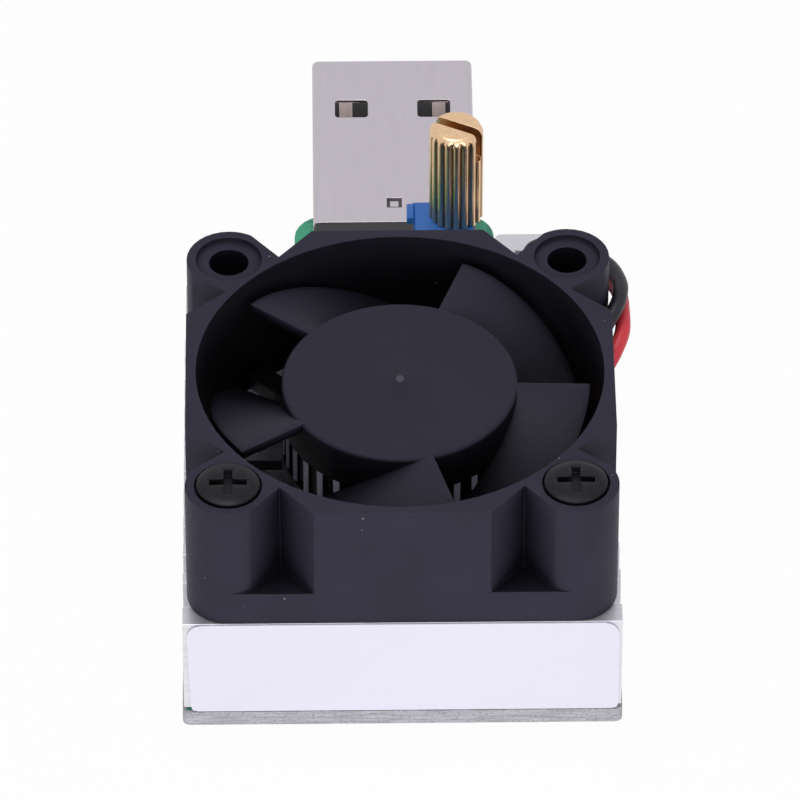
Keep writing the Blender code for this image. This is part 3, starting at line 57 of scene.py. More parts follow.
camera_lens = bpy.data.cameras.new("camera")
camera_lens.sensor_width = 36
camera_lens.lens = 399
camera_lens.shift_y = -0.0385
camera_lens.clip_end = 20
camera = bpy.data.objects.new("camera", camera_lens)
scene.collection.objects.link(camera)
towards_camera = Vector((
    math.sin(VIEW_AZIMUTH) * math.cos(VIEW_ELEVATION),
    -math.cos(VIEW_AZIMUTH) * math.cos(VIEW_ELEVATION),
    math.sin(VIEW_ELEVATION),
))
camera.location = FAN_TOP_CENTRE + towards_camera * VIEW_DISTANCE
camera.rotation_euler = towards_camera.to_track_quat("Z", "Y").to_euler()
scene.camera = camera


# The fan's two leads
# Stranded copper wire in soft PVC, one black and one red. They are soldered to the driver board in
# the fan, pass under the flange at its back right corner, and end in the white plug's crimps.

LEAD_DIAMETER = 0.0011
BLACK_ROUTE = (
    (0.00670, -0.01260, 0.01268), (0.00830, -0.01130, 0.01268), (0.00970, -0.01010, 0.01268),
    (0.01090, -0.00920, 0.01268), (0.01210, -0.00875, 0.01270), (0.01340, -0.00870, 0.01315),
    (0.01415, -0.00870, 0.01400), (0.01435, -0.00870, 0.01520), (0.01440, -0.00865, 0.01650),
    (0.01475, -0.00840, 0.01770), (0.01535, -0.00760, 0.01840), (0.01580, -0.00630, 0.01865),
    (0.01580, -0.00460, 0.01860), (0.01500, -0.00250, 0.01840), (0.01320, -0.00050, 0.01800),
    (0.01130, 0.00150, 0.01690), (0.01000, 0.00300, 0.01530), (0.00955, 0.00380, 0.01360),
    (0.00950, 0.00397, 0.01190), (0.00950, 0.00397, 0.01050),
)
RED_ROUTE = (
    (0.00750, -0.01400, 0.01268), (0.00920, -0.01240, 0.01268), (0.01080, -0.01090, 0.01268),
    (0.01200, -0.01035, 0.01268), (0.01330, -0.01028, 0.01290), (0.01420, -0.01030, 0.01380),
    (0.01470, -0.01015, 0.01510), (0.01540, -0.00940, 0.01615), (0.01595, -0.00800, 0.01680),
    (0.01600, -0.00620, 0.01710), (0.01585, -0.00430, 0.01710), (0.01520, -0.00250, 0.01690),
    (0.01410, -0.00060, 0.01660), (0.01290, 0.00130, 0.01600), (0.01220, 0.00290, 0.01490),
    (0.01200, 0.00390, 0.01330), (0.01200, 0.00397, 0.01190), (0.01200, 0.00397, 0.01050),
)


def linear(red, green, blue):
    """A colour as a screen gives it, 0 to 255, as Blender's own linear colour."""
    channels = []
    for value in (red, green, blue):
        value = value / 255
        channels.append(value / 12.92 if value <= 0.04045 else ((value + 0.055) / 1.055) ** 2.4)
    return (*channels, 1.0)


def feed(tree, socket, value):
    """Links a socket to another one, or sets its value."""
    if isinstance(value, bpy.types.NodeSocket):
        tree.links.new(value, socket)
    else:
        socket.default_value = value


def node(tree, kind, inputs=None, **settings):
    """Adds a shader node with its settings and its inputs, each a value or a link."""
    made = tree.nodes.new("ShaderNode" + kind)
    for name, value in settings.items():
        setattr(made, name, value)
    for name, value in (inputs or {}).items():
        feed(tree, made.inputs[name], value)
    return made


def sums(tree, operation, *values):
    """A Math node's result."""
    return node(tree, "Math", dict(enumerate(values)), operation=operation).outputs[0]


def between(tree, mask, first, second):
    """The first colour where the mask is 0, the second where it is 1."""
    return node(tree, "Mix", {0: mask, 6: first, 7: second}, data_type="RGBA").outputs[2]


def spread(tree, value, low, high, start=0.0, end=1.0):
    """A value's range from low to high, stretched to run from start to end."""
    return node(tree, "MapRange", {0: value, 1: low, 2: high, 3: start, 4: end}).outputs[0]


def effect(name, inputs, outputs):
    """Starts a shader node group, and returns it with its inputs and outputs by name."""
    group = bpy.data.node_groups.new(name, "ShaderNodeTree")
    for label, value in inputs.items():
        kind = "NodeSocketVector" if isinstance(value, tuple) else "NodeSocketFloat"
        group.interface.new_socket(label, in_out="INPUT", socket_type=kind).default_value = value
    for label in outputs:
        group.interface.new_socket(label, in_out="OUTPUT", socket_type="NodeSocketFloat")
    given = group.nodes.new("NodeGroupInput").outputs
    result = group.nodes.new("NodeGroupOutput").inputs
    return group, given, result


def placed(tree, group, **values):
    """Places an effect in a material with its own values, and returns its outputs."""
    made = tree.nodes.new("ShaderNodeGroup")
    made.node_tree = group
    for name, value in values.items():
        feed(tree, made.inputs[name], value)
    return made.outputs


# Grain of a mould: a broad drift of shade and a fine, even texture
mould_grain, given, result = effect("mould grain", {"Scale": 3000.0}, ("Shade", "Height"))
place = node(mould_grain, "TexCoord").outputs["Object"]
drift = node(mould_grain, "TexNoise", {"Vector": place, "Detail": 2.0,
                                       "Scale": sums(mould_grain, "MULTIPLY", given["Scale"], 0.06)})
fine = node(mould_grain, "TexNoise", {"Vector": place, "Detail": 3.0, "Scale": given["Scale"]})
mould_grain.links.new(drift.outputs[0], result["Shade"])
mould_grain.links.new(fine.outputs[0], result["Height"])

# Painted shade: a moulding's colour is darkened where other faces stand close to it, standing in for the
# shade that falls in corners
painted_corner_shade, given, result = effect("painted corner shade", {"Reach": 0.008}, ("Open",))
clear = node(painted_corner_shade, "AmbientOcclusion", {"Distance": given["Reach"]}, samples=8).outputs["AO"]
painted_corner_shade.links.new(spread(painted_corner_shade, clear, 0.4, 0.9), result["Open"])

# Dust: a few pale specks, each a different size
dust_specks, given, result = effect("dust specks", {"Scale": 1100.0, "Amount": 0.02}, ("Mask",))
place = node(dust_specks, "TexCoord").outputs["Object"]
cells = node(dust_specks, "TexVoronoi", {"Vector": place, "Scale": given["Scale"]})
chance = node(dust_specks, "SeparateColor", {0: cells.outputs["Color"]}).outputs[0]
size = sums(dust_specks, "POWER", chance, 6.0)
reach = sums(dust_specks, "MULTIPLY", size, sums(dust_specks, "MULTIPLY", given["Amount"], 4.0))
dust_specks.links.new(sums(dust_specks, "LESS_THAN", cells.outputs["Distance"], reach), result["Mask"])


def moulded(name, colour, roughness, contrast=0.16, scale=3000.0, relief=0.000006, corners=0.0, dust=0.0,
            specular=0.5):
    """Moulded plastic or rubber: a drift of shade, a fine grain, and painted corner shade and dust where
    asked.
    """
    material = bpy.data.materials.new(name)
    material.use_nodes = True
    tree = material.node_tree
    shader = tree.nodes["Principled BSDF"]
    shader.inputs["Specular IOR Level"].default_value = specular
    grain = placed(tree, mould_grain, Scale=scale)
    dark = (*[value * (1 - contrast) for value in colour[:3]], 1.0)
    pale = (*[min(1.0, value * (1 + contrast)) for value in colour[:3]], 1.0)
    shade = between(tree, spread(tree, grain["Shade"], 0.3, 0.7), dark, pale)
    # Painted shade: the colour runs to near black where other faces stand close
    if corners:
        clear = placed(tree, painted_corner_shade, Reach=corners)["Open"]
        shade = between(tree, clear, (*[value * 0.12 for value in colour[:3]], 1.0), shade)
    if dust:
        mask = placed(tree, dust_specks, Amount=dust)["Mask"]
        shade = between(tree, mask, shade, linear(150, 148, 156))
    tree.links.new(shade, shader.inputs["Base Color"])
    rough = spread(tree, grain["Height"], 0.3, 0.7, roughness - 0.05, roughness + 0.06)
    tree.links.new(rough, shader.inputs["Roughness"])
    bump = node(tree, "Bump", {"Height": grain["Height"], "Distance": relief, "Strength": 1.0})
    tree.links.new(bump.outputs[0], shader.inputs["Normal"])
    return material


black_pvc = moulded("black PVC", linear(34, 32, 40), 0.4, scale=1500.0, specular=0.3)
red_pvc = moulded("red PVC", linear(222, 66, 76), 0.36, scale=1500.0, specular=0.3)


def lead(name, route, material):
    """A round wire on a smooth curve through its route's points."""
    line = bpy.data.curves.new(name, "CURVE")
    line.dimensions = "3D"
    line.bevel_depth = LEAD_DIAMETER / 2
    line.bevel_resolution = 6
    line.use_fill_caps = True
    spline = line.splines.new("BEZIER")
    spline.bezier_points.add(len(route) - 1)
    places = [Vector(point) for point in route]
    ends = [2 * places[0] - places[1]] + places + [2 * places[-1] - places[-2]]
    for i, point in enumerate(spline.bezier_points):
        along = (ends[i + 2] - ends[i]) / 6
        point.co = places[i]
        point.handle_left = places[i] - along
        point.handle_right = places[i] + along
    wire = bpy.data.objects.new(name, line)
    scene.collection.objects.link(wire)
    line.materials.append(material)
    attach(wire, "root")
    return wire


black_lead = lead("black_lead", BLACK_ROUTE, black_pvc)
red_lead = lead("red_lead", RED_ROUTE, red_pvc)
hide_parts("fan_lead_black")
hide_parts("fan_lead_red")


# Circuit board
# Glass-fibre laminate, 1.2 mm thick, milled to its outline and left raw and grey at the edges. Both
# faces carry copper under green solder mask, with tinned lands where parts are soldered.

# Joins a CAD piece's loose triangles and shades them smooth, before its edges are rounded
joined_smooth = bpy.data.node_groups.new("joined and smooth", "GeometryNodeTree")
joined_smooth.interface.new_socket("Geometry", in_out="INPUT", socket_type="NodeSocketGeometry")
joined_smooth.interface.new_socket("Geometry", in_out="OUTPUT", socket_type="NodeSocketGeometry")
entry = joined_smooth.nodes.new("NodeGroupInput")
merge = joined_smooth.nodes.new("GeometryNodeMergeByDistance")
merge.inputs["Distance"].default_value = 0.000001
soft = joined_smooth.nodes.new("GeometryNodeSetShadeSmooth")
leave = joined_smooth.nodes.new("NodeGroupOutput")
joined_smooth.links.new(entry.outputs[0], merge.inputs[0])
joined_smooth.links.new(merge.outputs[0], soft.inputs[0])
joined_smooth.links.new(soft.outputs[0], leave.inputs[0])


def round_edges(piece, width, angle=35.0):
    """Rounds a piece's sharp edges by a small real width."""
    bevel = piece.modifiers.new("rounded edges", "BEVEL")
    bevel.width = width
    bevel.segments = 2
    bevel.limit_method = "ANGLE"
    bevel.angle_limit = math.radians(angle)
    bevel.use_clamp_overlap = False
    even = piece.modifiers.new("even shading", "WEIGHTED_NORMAL")
    even.weight = 80


def dress(material, *names, edge=0.00005):
    """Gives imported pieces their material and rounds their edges."""
    for name in names:
        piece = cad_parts[name]
        for slot in piece.material_slots:
            slot.material = material
        smooth = piece.modifiers.new("joined and smooth", "NODES")
        smooth.node_group = joined_smooth
        if edge:
            flat = piece.modifiers.new("whole faces", "DECIMATE")
            flat.decimate_type = "DISSOLVE"
            flat.angle_limit = math.radians(0.5)
            round_edges(piece, edge)


def landing(tree, place, name, margin):
    """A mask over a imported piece's footprint, with a margin round it."""
    low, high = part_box(name)
    mask = 1.0
    for axis in (0, 1):
        middle = (low[axis] + high[axis]) / 2
        half = (high[axis] - low[axis]) / 2 + margin[axis]
        offset = sums(tree, "ABSOLUTE", sums(tree, "SUBTRACT", place[axis], middle))
        mask = sums(tree, "MULTIPLY", mask, sums(tree, "LESS_THAN", offset, half))
    return mask


BARE_BORDER = 0.0003
RESISTORS = [f"chip_resistor_{i}" for i in (1, 2, 3, 4)]
CAPACITORS = [f"chip_capacitor_{i}" for i in (1, 2, 3)]
# How far the tinned lands reach past each part, along x and along y
LANDS = {name: (0.0005, 0.0) for name in RESISTORS + CAPACITORS} | {
    "sense_resistor": (0.0, 0.0007), "amplifier": (0.0002, 0.0004), "voltage_reference": (0.0, 0.0004),
    "power_transistor": (0.0006, 0.0006), "header_pin_1": (0.0001, 0.0001), "header_pin_2": (0.0001, 0.0001),
}

board_finish = bpy.data.materials.new("green board")
board_finish.use_nodes = True
tree = board_finish.node_tree
shader = tree.nodes["Principled BSDF"]
coordinates = node(tree, "TexCoord").outputs
place = node(tree, "SeparateXYZ", {0: coordinates["Object"]}).outputs
facing = node(tree, "SeparateXYZ", {0: coordinates["Normal"]}).outputs[2]
face = sums(tree, "GREATER_THAN", sums(tree, "ABSOLUTE", facing), 0.6)
under = sums(tree, "LESS_THAN", facing, 0.0)

# Copper under the mask: square-cornered islands with fine gaps, and a few small vias
islands = [node(tree, "TexVoronoi", {"Vector": coordinates["Object"], "Scale": 260.0, "Randomness": 0.75},
                voronoi_dimensions="2D", feature=feature, distance="CHEBYCHEV").outputs["Distance"]
           for feature in ("F1", "F2")]
gap = sums(tree, "LESS_THAN", sums(tree, "SUBTRACT", islands[1], islands[0]), 0.07)
cloud = placed(tree, mould_grain, Scale=2600.0)
mask_green = between(tree, cloud["Shade"], linear(48, 154, 116), linear(66, 180, 140))
mask_green = between(tree, gap, mask_green, linear(44, 142, 108))
vias = node(tree, "TexVoronoi", {"Vector": coordinates["Object"], "Scale": 260.0, "Randomness": 0.7})
chosen = sums(tree, "GREATER_THAN", node(tree, "SeparateColor", {0: vias.outputs["Color"]}).outputs[0], 0.72)
ring = sums(tree, "MULTIPLY", chosen, sums(tree, "LESS_THAN", vias.outputs["Distance"], 0.085))
hole = sums(tree, "MULTIPLY", chosen, sums(tree, "LESS_THAN", vias.outputs["Distance"], 0.04))
mask_green = between(tree, ring, mask_green, linear(96, 170, 142))
mask_green = between(tree, hole, mask_green, linear(20, 60, 46))

# Tinned lands under the soldered parts and round the header's pins
tinned = 0.0
for name, margin in LANDS.items():
    tinned = sums(tree, "MAXIMUM", tinned, landing(tree, place, name, margin))
tinned = sums(tree, "MULTIPLY", sums(tree, "MULTIPLY", tinned, face), under)

# The milled edge: pale fibre layers with darker torn specks
layers = node(tree, "Mapping", {"Vector": coordinates["Object"], "Scale": (500.0, 500.0, 9000.0)})
torn = node(tree, "TexNoise", {"Vector": layers.outputs[0], "Scale": 1.0, "Detail": 4.0}).outputs[0]
specks = node(tree, "TexNoise", {"Vector": coordinates["Object"], "Scale": 5200.0, "Detail": 2.0}).outputs[0]
raw_edge = between(tree, spread(tree, torn, 0.35, 0.65), linear(162, 161, 166), linear(200, 199, 205))
raw_edge = between(tree, spread(tree, specks, 0.56, 0.66), raw_edge, linear(148, 148, 152))
surface = between(tree, face, raw_edge, mask_green)

# The mask stops a little short of the sides and the front
board_low, board_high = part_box("circuit_board")
aside = sums(tree, "GREATER_THAN", sums(tree, "ABSOLUTE", place[0]), board_high[0] - BARE_BORDER)
ahead = sums(tree, "LESS_THAN", place[1], board_low[1] + BARE_BORDER)
surface = between(tree, sums(tree, "MAXIMUM", aside, ahead), surface, raw_edge)

surface = between(tree, tinned, surface, linear(206, 206, 208))
tree.links.new(surface, shader.inputs["Base Color"])
tree.links.new(tinned, shader.inputs["Metallic"])
gloss = sums(tree, "ADD", sums(tree, "MULTIPLY", face, -0.42), 0.78)
tree.links.new(gloss, shader.inputs["Roughness"])
relief = sums(tree, "ADD", sums(tree, "MULTIPLY", gap, -0.6), sums(tree, "MULTIPLY", torn, 0.8))
bump = node(tree, "Bump", {"Height": relief, "Distance": 0.00002, "Strength": 0.4})
tree.links.new(bump.outputs[0], shader.inputs["Normal"])
dress(board_finish, "circuit_board", edge=0.00004)


# Parts soldered under the board
# A power transistor burns the load's current, a flat resistor senses it, and an amplifier and a
# reference with a few chip parts hold it steady. All are moulded black or tan and soldered flat.

# Drawn metal: streaks along one direction, faint patches and a fine relief
drawn_metal, given, result = effect("drawn metal", {"Stretch": (1.0, 1.0, 1.0), "Scale": 2500.0},
                                    ("Shade", "Patches", "Height"))
place = node(drawn_metal, "TexCoord").outputs["Object"]
stretched = node(drawn_metal, "VectorMath", {0: place, 1: given["Stretch"]}, operation="MULTIPLY")
streaks = node(drawn_metal, "TexNoise", {"Vector": stretched.outputs[0], "Scale": given["Scale"],
                                         "Detail": 4.0})
patches = node(drawn_metal, "TexNoise", {"Vector": place, "Detail": 3.0,
                                         "Scale": sums(drawn_metal, "MULTIPLY", given["Scale"], 0.08)})
drawn_metal.links.new(streaks.outputs[0], result["Shade"])
drawn_metal.links.new(patches.outputs[0], result["Patches"])
drawn_metal.links.new(streaks.outputs[0], result["Height"])


def metal(name, colour, roughness, stretch=(1.0, 1.0, 1.0), contrast=0.1, relief=0.000004, scale=2500.0,
          metallic=1.0):
    """Bare or plated metal with streaks along one direction, or an even grain."""
    material = bpy.data.materials.new(name)
    material.use_nodes = True
    tree = material.node_tree
    shader = tree.nodes["Principled BSDF"]
    shader.inputs["Metallic"].default_value = metallic
    grain = placed(tree, drawn_metal, Stretch=stretch, Scale=scale)
    dark = (*[value * (1 - contrast) for value in colour[:3]], 1.0)
    pale = (*[min(1.0, value * (1 + contrast)) for value in colour[:3]], 1.0)
    shade = between(tree, spread(tree, grain["Shade"], 0.3, 0.7), dark, pale)
    tree.links.new(shade, shader.inputs["Base Color"])
    rough = spread(tree, grain["Patches"], 0.3, 0.7, roughness - 0.05, roughness + 0.07)
    tree.links.new(rough, shader.inputs["Roughness"])
    bump = node(tree, "Bump", {"Height": grain["Height"], "Distance": relief, "Strength": 1.0})
    tree.links.new(bump.outputs[0], shader.inputs["Normal"])
    return material


def retint(tree, mask, colour):
    """Lays another colour over a finish's own where a mask says so."""
    base = tree.nodes["Principled BSDF"].inputs["Base Color"]
    tree.links.new(between(tree, mask, base.links[0].from_socket, colour), base)


def soldered(part, body, tin, roughness=0.5, axis=1, reach=0.0):
    """A moulded part with tinned ends or legs, which reach that far in from both ends of an axis."""
    low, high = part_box(part)
    middle = (low[axis] + high[axis]) / 2
    half = (high[axis] - low[axis]) / 2
    material = moulded(part + " finish", body, roughness, scale=5000.0)
    tree = material.node_tree
    place = node(tree, "SeparateXYZ", {0: node(tree, "TexCoord").outputs["Object"]}).outputs[axis]
    offset = sums(tree, "ABSOLUTE", sums(tree, "SUBTRACT", place, middle))
    ends = sums(tree, "GREATER_THAN", offset, half - reach)
    retint(tree, ends, tin)
    tree.links.new(ends, tree.nodes["Principled BSDF"].inputs["Metallic"])
    dress(material, part, edge=0.00006)


END_TIN = linear(200, 200, 202)
LEG_TIN = linear(196, 196, 198)
for resistor in RESISTORS:
    soldered(resistor, linear(30, 30, 34), END_TIN, axis=0, reach=0.00032)
for capacitor in CAPACITORS:
    soldered(capacitor, linear(164, 122, 88), END_TIN, axis=0, reach=0.00036)
soldered("sense_resistor", linear(32, 32, 36), END_TIN, reach=0.00063)
soldered("amplifier", linear(32, 32, 35), LEG_TIN, roughness=0.48, reach=0.001)
soldered("voltage_reference", linear(32, 32, 35), LEG_TIN, roughness=0.48, reach=0.0006)
soldered("power_transistor", linear(34, 34, 37), LEG_TIN, roughness=0.48, reach=0.0013)


# USB plug
# A standard-A plug. Its shell is folded from nickel-plated steel sheet with two latch windows and a
# punched dimple, over a black moulded tongue and hood with four pale gilt contacts.

DIMPLE_Y = 0.0166
DIMPLE_HALF = 0.00055
DIMPLE_SHADOW_BAND = 0.00024

shell_steel = metal("nickel-plated sheet", linear(188, 182, 188), 0.35, stretch=(1.0, 0.12, 1.0),
                    contrast=0.02, relief=0.0000006)
# Painted shadow: a dark band round the punched dimple stands in for the shadow line at its sheared edge
tree = shell_steel.node_tree
place = node(tree, "SeparateXYZ", {0: node(tree, "TexCoord").outputs["Object"]}).outputs
along = sums(tree, "ABSOLUTE", sums(tree, "SUBTRACT", place[1], DIMPLE_Y))
away = sums(tree, "MAXIMUM", sums(tree, "ABSOLUTE", place[0]), along)
painted_dimple_shadow = sums(tree, "MULTIPLY", sums(tree, "GREATER_THAN", away, DIMPLE_HALF - DIMPLE_SHADOW_BAND),
           sums(tree, "LESS_THAN", away, DIMPLE_HALF))
painted_dimple_shadow = sums(tree, "MULTIPLY", painted_dimple_shadow, sums(tree, "GREATER_THAN", place[2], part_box("usb_shell")[1][2] - 0.0003))
retint(tree, painted_dimple_shadow, linear(84, 78, 80))
plug_black = moulded("black nylon", linear(18, 18, 20), 0.3, scale=2500.0)
contact_gilt = metal("pale gold flash", linear(218, 204, 196), 0.3, stretch=(1.0, 0.1, 1.0))
dress(shell_steel, "usb_shell", edge=0.00005)
dress(plug_black, "usb_insulator", "usb_back_cap", edge=0.00008)
dress(contact_gilt, "usb_contact_1", "usb_contact_2", "usb_contact_3", "usb_contact_4")


# Trimmer
# A square multi-turn trimmer stands on end: a blue moulded case over a base with three pins, a
# resistance element inside, and a brass adjuster whose head is knurled and slotted. Turning it
# drives a half-nut carriage up and down its screw.

blue_case = moulded("blue moulding", linear(40, 112, 200), 0.4, contrast=0.08, scale=2800.0)
blue_base = moulded("dark blue base", linear(34, 80, 150), 0.5, contrast=0.1)
carriage_white = moulded("carriage nylon", linear(216, 214, 204), 0.45, contrast=0.05)
seal_rubber = moulded("seal rubber", linear(40, 38, 40), 0.7, scale=4000.0)
cermet = metal("cermet track", linear(64, 60, 58), 0.55, scale=6000.0, metallic=0.3, contrast=0.3)
tinned_wire = metal("tinned wire", linear(204, 203, 206), 0.28, stretch=(1.0, 1.0, 0.1))
spring_strip = metal("spring strip", linear(206, 184, 132), 0.3, stretch=(1.0, 1.0, 0.15))
dress(blue_case, "trimmer_case", edge=0.00012)
dress(blue_base, "trimmer_base", edge=0.00006)
dress(carriage_white, "trimmer_carriage")
dress(seal_rubber, "trimmer_seal", edge=0)
dress(cermet, "resistance_element")
dress(tinned_wire, "trimmer_pin_1", "trimmer_pin_2", "trimmer_pin_3", edge=0)
dress(spring_strip, "trimmer_wiper", edge=0.00002)

KNOB_CENTRE = Vector((0.0044, 0.0089, 0.0))
KNOB_LOW = 0.01365
KNOB_HIGH = 0.0219
KNOB_RADIUS = 0.00197
KNOB_FLUTES = 18
KNOB_FLUTE_DEPTH = 0.00017
KNOB_SLOT_WIDTH = 0.0007
KNOB_SLOT_DEPTH = 0.0025
KNOB_SLOT_ANGLE = math.radians(-27)
STEM_RADIUS = 0.00062


def fluted(angle, radius):
    """The knurl's radius at an angle: flat-topped bars with narrow grooves between them."""
    groove = (0.5 + 0.5 * math.cos(angle * KNOB_FLUTES)) ** 2.2
    return radius - KNOB_FLUTE_DEPTH * groove


knob_mesh = bmesh.new()
bmesh.ops.create_circle(knob_mesh, cap_ends=True, segments=KNOB_FLUTES * 10, radius=KNOB_RADIUS)
for vert in knob_mesh.verts:
    angle = math.atan2(vert.co.y, vert.co.x)
    radius = fluted(angle, KNOB_RADIUS)
    vert.co = Vector((radius * math.cos(angle), radius * math.sin(angle), KNOB_LOW))
# The knurl rises to a rounded shoulder, where it runs out, and the top is turned smooth. Each level
# is a height over the knob's foot, a share of the radius, and how far the knurl has run out
levels = [(0.0075, 1.0, 0.0), (0.00782, 0.985, 0.35), (0.00802, 0.95, 0.75), (0.00816, 0.895, 1.0),
          (0.00823, 0.82, 1.0), (0.00825, 0.7, 1.0)]
face = knob_mesh.faces[:][0]
for height, share, ease in levels:
    face = bmesh.ops.extrude_discrete_faces(knob_mesh, faces=[face])["faces"][0]
    for vert in face.verts:
        angle = math.atan2(vert.co.y, vert.co.x)
        plain = KNOB_RADIUS - KNOB_FLUTE_DEPTH * 0.6
        radius = (fluted(angle, KNOB_RADIUS) * (1 - ease) + plain * ease) * share
        vert.co = Vector((radius * math.cos(angle), radius * math.sin(angle), KNOB_LOW + height))
bmesh.ops.recalc_face_normals(knob_mesh, faces=knob_mesh.faces)
stem_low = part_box("trimmer_knob")[0][2]
bmesh.ops.create_cone(knob_mesh, cap_ends=True, segments=32, radius1=STEM_RADIUS, radius2=STEM_RADIUS,
                      depth=KNOB_LOW - stem_low,
                      matrix=Matrix.Translation((0, 0, (KNOB_LOW + stem_low) / 2)))
knob_data = bpy.data.meshes.new("brass_knob")
knob_mesh.to_mesh(knob_data)
knob_mesh.free()
knob = bpy.data.objects.new("brass_knob", knob_data)
scene.collection.objects.link(knob)

slot_mesh = bmesh.new()
bmesh.ops.create_cube(slot_mesh, size=1.0)
bmesh.ops.scale(slot_mesh, vec=(4 * KNOB_RADIUS, KNOB_SLOT_WIDTH, 2 * KNOB_SLOT_DEPTH), verts=slot_mesh.verts)
bmesh.ops.rotate(slot_mesh, matrix=Matrix.Rotation(KNOB_SLOT_ANGLE, 3, "Z"), verts=slot_mesh.verts)
bmesh.ops.translate(slot_mesh, vec=(0, 0, KNOB_HIGH), verts=slot_mesh.verts)
slot_data = bpy.data.meshes.new("saw_cut")
slot_mesh.to_mesh(slot_data)
slot_mesh.free()
saw_cut = bpy.data.objects.new("saw_cut", slot_data)
scene.collection.objects.link(saw_cut)
sawn = knob.modifiers.new("saw cut", "BOOLEAN")
sawn.operation = "DIFFERENCE"
sawn.solver = "EXACT"
sawn.object = saw_cut
bpy.context.view_layer.update()
knob.data = bpy.data.meshes.new_from_object(knob.evaluated_get(bpy.context.evaluated_depsgraph_get()))
knob.modifiers.clear()
bpy.data.objects.remove(saw_cut)
knob.data.transform(Matrix.Translation(KNOB_CENTRE))
for polygon in knob.data.polygons:
    polygon.use_smooth = True
round_edges(knob, 0.00003, 40.0)


def from_axis(tree, centre):
    """A point's distance from the upright axis through a centre, and its height."""
    place = node(tree, "SeparateXYZ", {0: node(tree, "TexCoord").outputs["Object"]}).outputs
    across = sums(tree, "POWER", sums(tree, "SUBTRACT", place[0], centre.x), 2.0)
    along = sums(tree, "POWER", sums(tree, "SUBTRACT", place[1], centre.y), 2.0)
    return sums(tree, "SQRT", sums(tree, "ADD", across, along)), place[2]


brass = metal("turned brass", linear(222, 188, 150), 0.25, stretch=(1.0, 1.0, 0.2), contrast=0.1)
# The knurl's grooves are coloured a darker brass
tree = brass.node_tree
reach, height = from_axis(tree, KNOB_CENTRE)
groove = spread(tree, reach, KNOB_RADIUS - KNOB_FLUTE_DEPTH * 0.2, KNOB_RADIUS - KNOB_FLUTE_DEPTH)
shank = sums(tree, "MULTIPLY", sums(tree, "LESS_THAN", height, KNOB_HIGH - 0.0006),
             sums(tree, "GREATER_THAN", reach, KNOB_RADIUS - KNOB_FLUTE_DEPTH * 1.2))
retint(tree, sums(tree, "MULTIPLY", groove, shank), linear(130, 94, 64))
knob.data.materials.clear()
knob.data.materials.append(brass)
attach(knob, "adjuster")
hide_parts("trimmer_knob")


# Thermal pad, heatsink and its two screws
# A soft grey pad carries the heat into an extruded aluminium block, sawn to length, with its fins
# under the fan. Two nickel-plated screws hold it from below through the board.

aluminium = metal("sawn aluminium", linear(226, 225, 231), 0.42, stretch=(0.06, 1.0, 1.0), contrast=0.06,
                  relief=0.000008)
silicone_pad = moulded("filled silicone", linear(150, 152, 158), 0.75, contrast=0.08, scale=5000.0,
                       relief=0.00001)
nickel = metal("nickel plate", linear(190, 190, 194), 0.26)
dress(aluminium, "heatsink", edge=0.00003)
dress(silicone_pad, "thermal_pad", edge=0.00005)
dress(nickel, "heatsink_screw_left", "heatsink_screw_right", edge=0.00005)


# Blank label
# White self-adhesive film with rounded corners. It is stuck by hand on the heatsink's front face, a
# little out of true.

LABEL_LEFT_TOP = -0.01505
LABEL_LEFT_FOOT = -0.0148
LABEL_RIGHT = 0.0151
LABEL_FOOT = 0.00367
LABEL_HEAD = 0.01182
LABEL_HEAD_CORNER = 0.0012
LABEL_FOOT_CORNER = 0.0004
LABEL_THICKNESS = 0.00008

label_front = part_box("side_label")[0][1]
label_mesh = bmesh.new()
bmesh.ops.create_grid(label_mesh, x_segments=60, y_segments=16, size=0.5)
for vert in label_mesh.verts:
    across, up = vert.co.x + 0.5, vert.co.y + 0.5
    left = LABEL_LEFT_FOOT + (LABEL_LEFT_TOP - LABEL_LEFT_FOOT) * up
    x = left + (LABEL_RIGHT - left) * across
    z = LABEL_FOOT + (LABEL_HEAD - LABEL_FOOT) * up
    # Corners: what lies outside the corner's circle is drawn in to it
    corner = LABEL_HEAD_CORNER if up > 0.5 else LABEL_FOOT_CORNER
    corner_x = min(x - left, LABEL_RIGHT - x)
    corner_z = min(z - LABEL_FOOT, LABEL_HEAD - z)
    if corner_x < corner and corner_z < corner:
        off = Vector((corner - corner_x, corner - corner_z))
        if off.length > corner:
            pull = off * (1 - corner / off.length)
            x += pull.x if x - left < LABEL_RIGHT - x else -pull.x
            z += pull.y if z - LABEL_FOOT < LABEL_HEAD - z else -pull.y
    vert.co = Vector((x, label_front + LABEL_THICKNESS, z))
bmesh.ops.recalc_face_normals(label_mesh, faces=label_mesh.faces)
for skin in label_mesh.faces:
    if skin.normal.y > 0:
        skin.normal_flip()
bmesh.ops.solidify(label_mesh, geom=label_mesh.faces[:], thickness=-LABEL_THICKNESS)
label_data = bpy.data.meshes.new("blank_label")
label_mesh.to_mesh(label_data)
label_mesh.free()
label = bpy.data.objects.new("blank_label", label_data)
scene.collection.objects.link(label)

label_film = moulded("white film", linear(240, 237, 252), 0.38, contrast=0.012, scale=1800.0,
                     relief=0.000002)
label.data.materials.append(label_film)
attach(label, "root")
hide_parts("side_label")


# Fan frame
# One black moulding: a square rim with four ears, a round duct, notched sides over a flange, and
# four struts to the motor's base. The mould leaves it matt, with softly rounded edges.

DUCT_RADIUS = 0.0143

# corners paints shade into the frame's notches, duct and other corners
fan_black = moulded("matt black moulding", linear(52, 50, 64), 0.5, contrast=0.08, scale=3400.0,
                    relief=0.000006, corners=0.009, dust=0.02, specular=0.08)

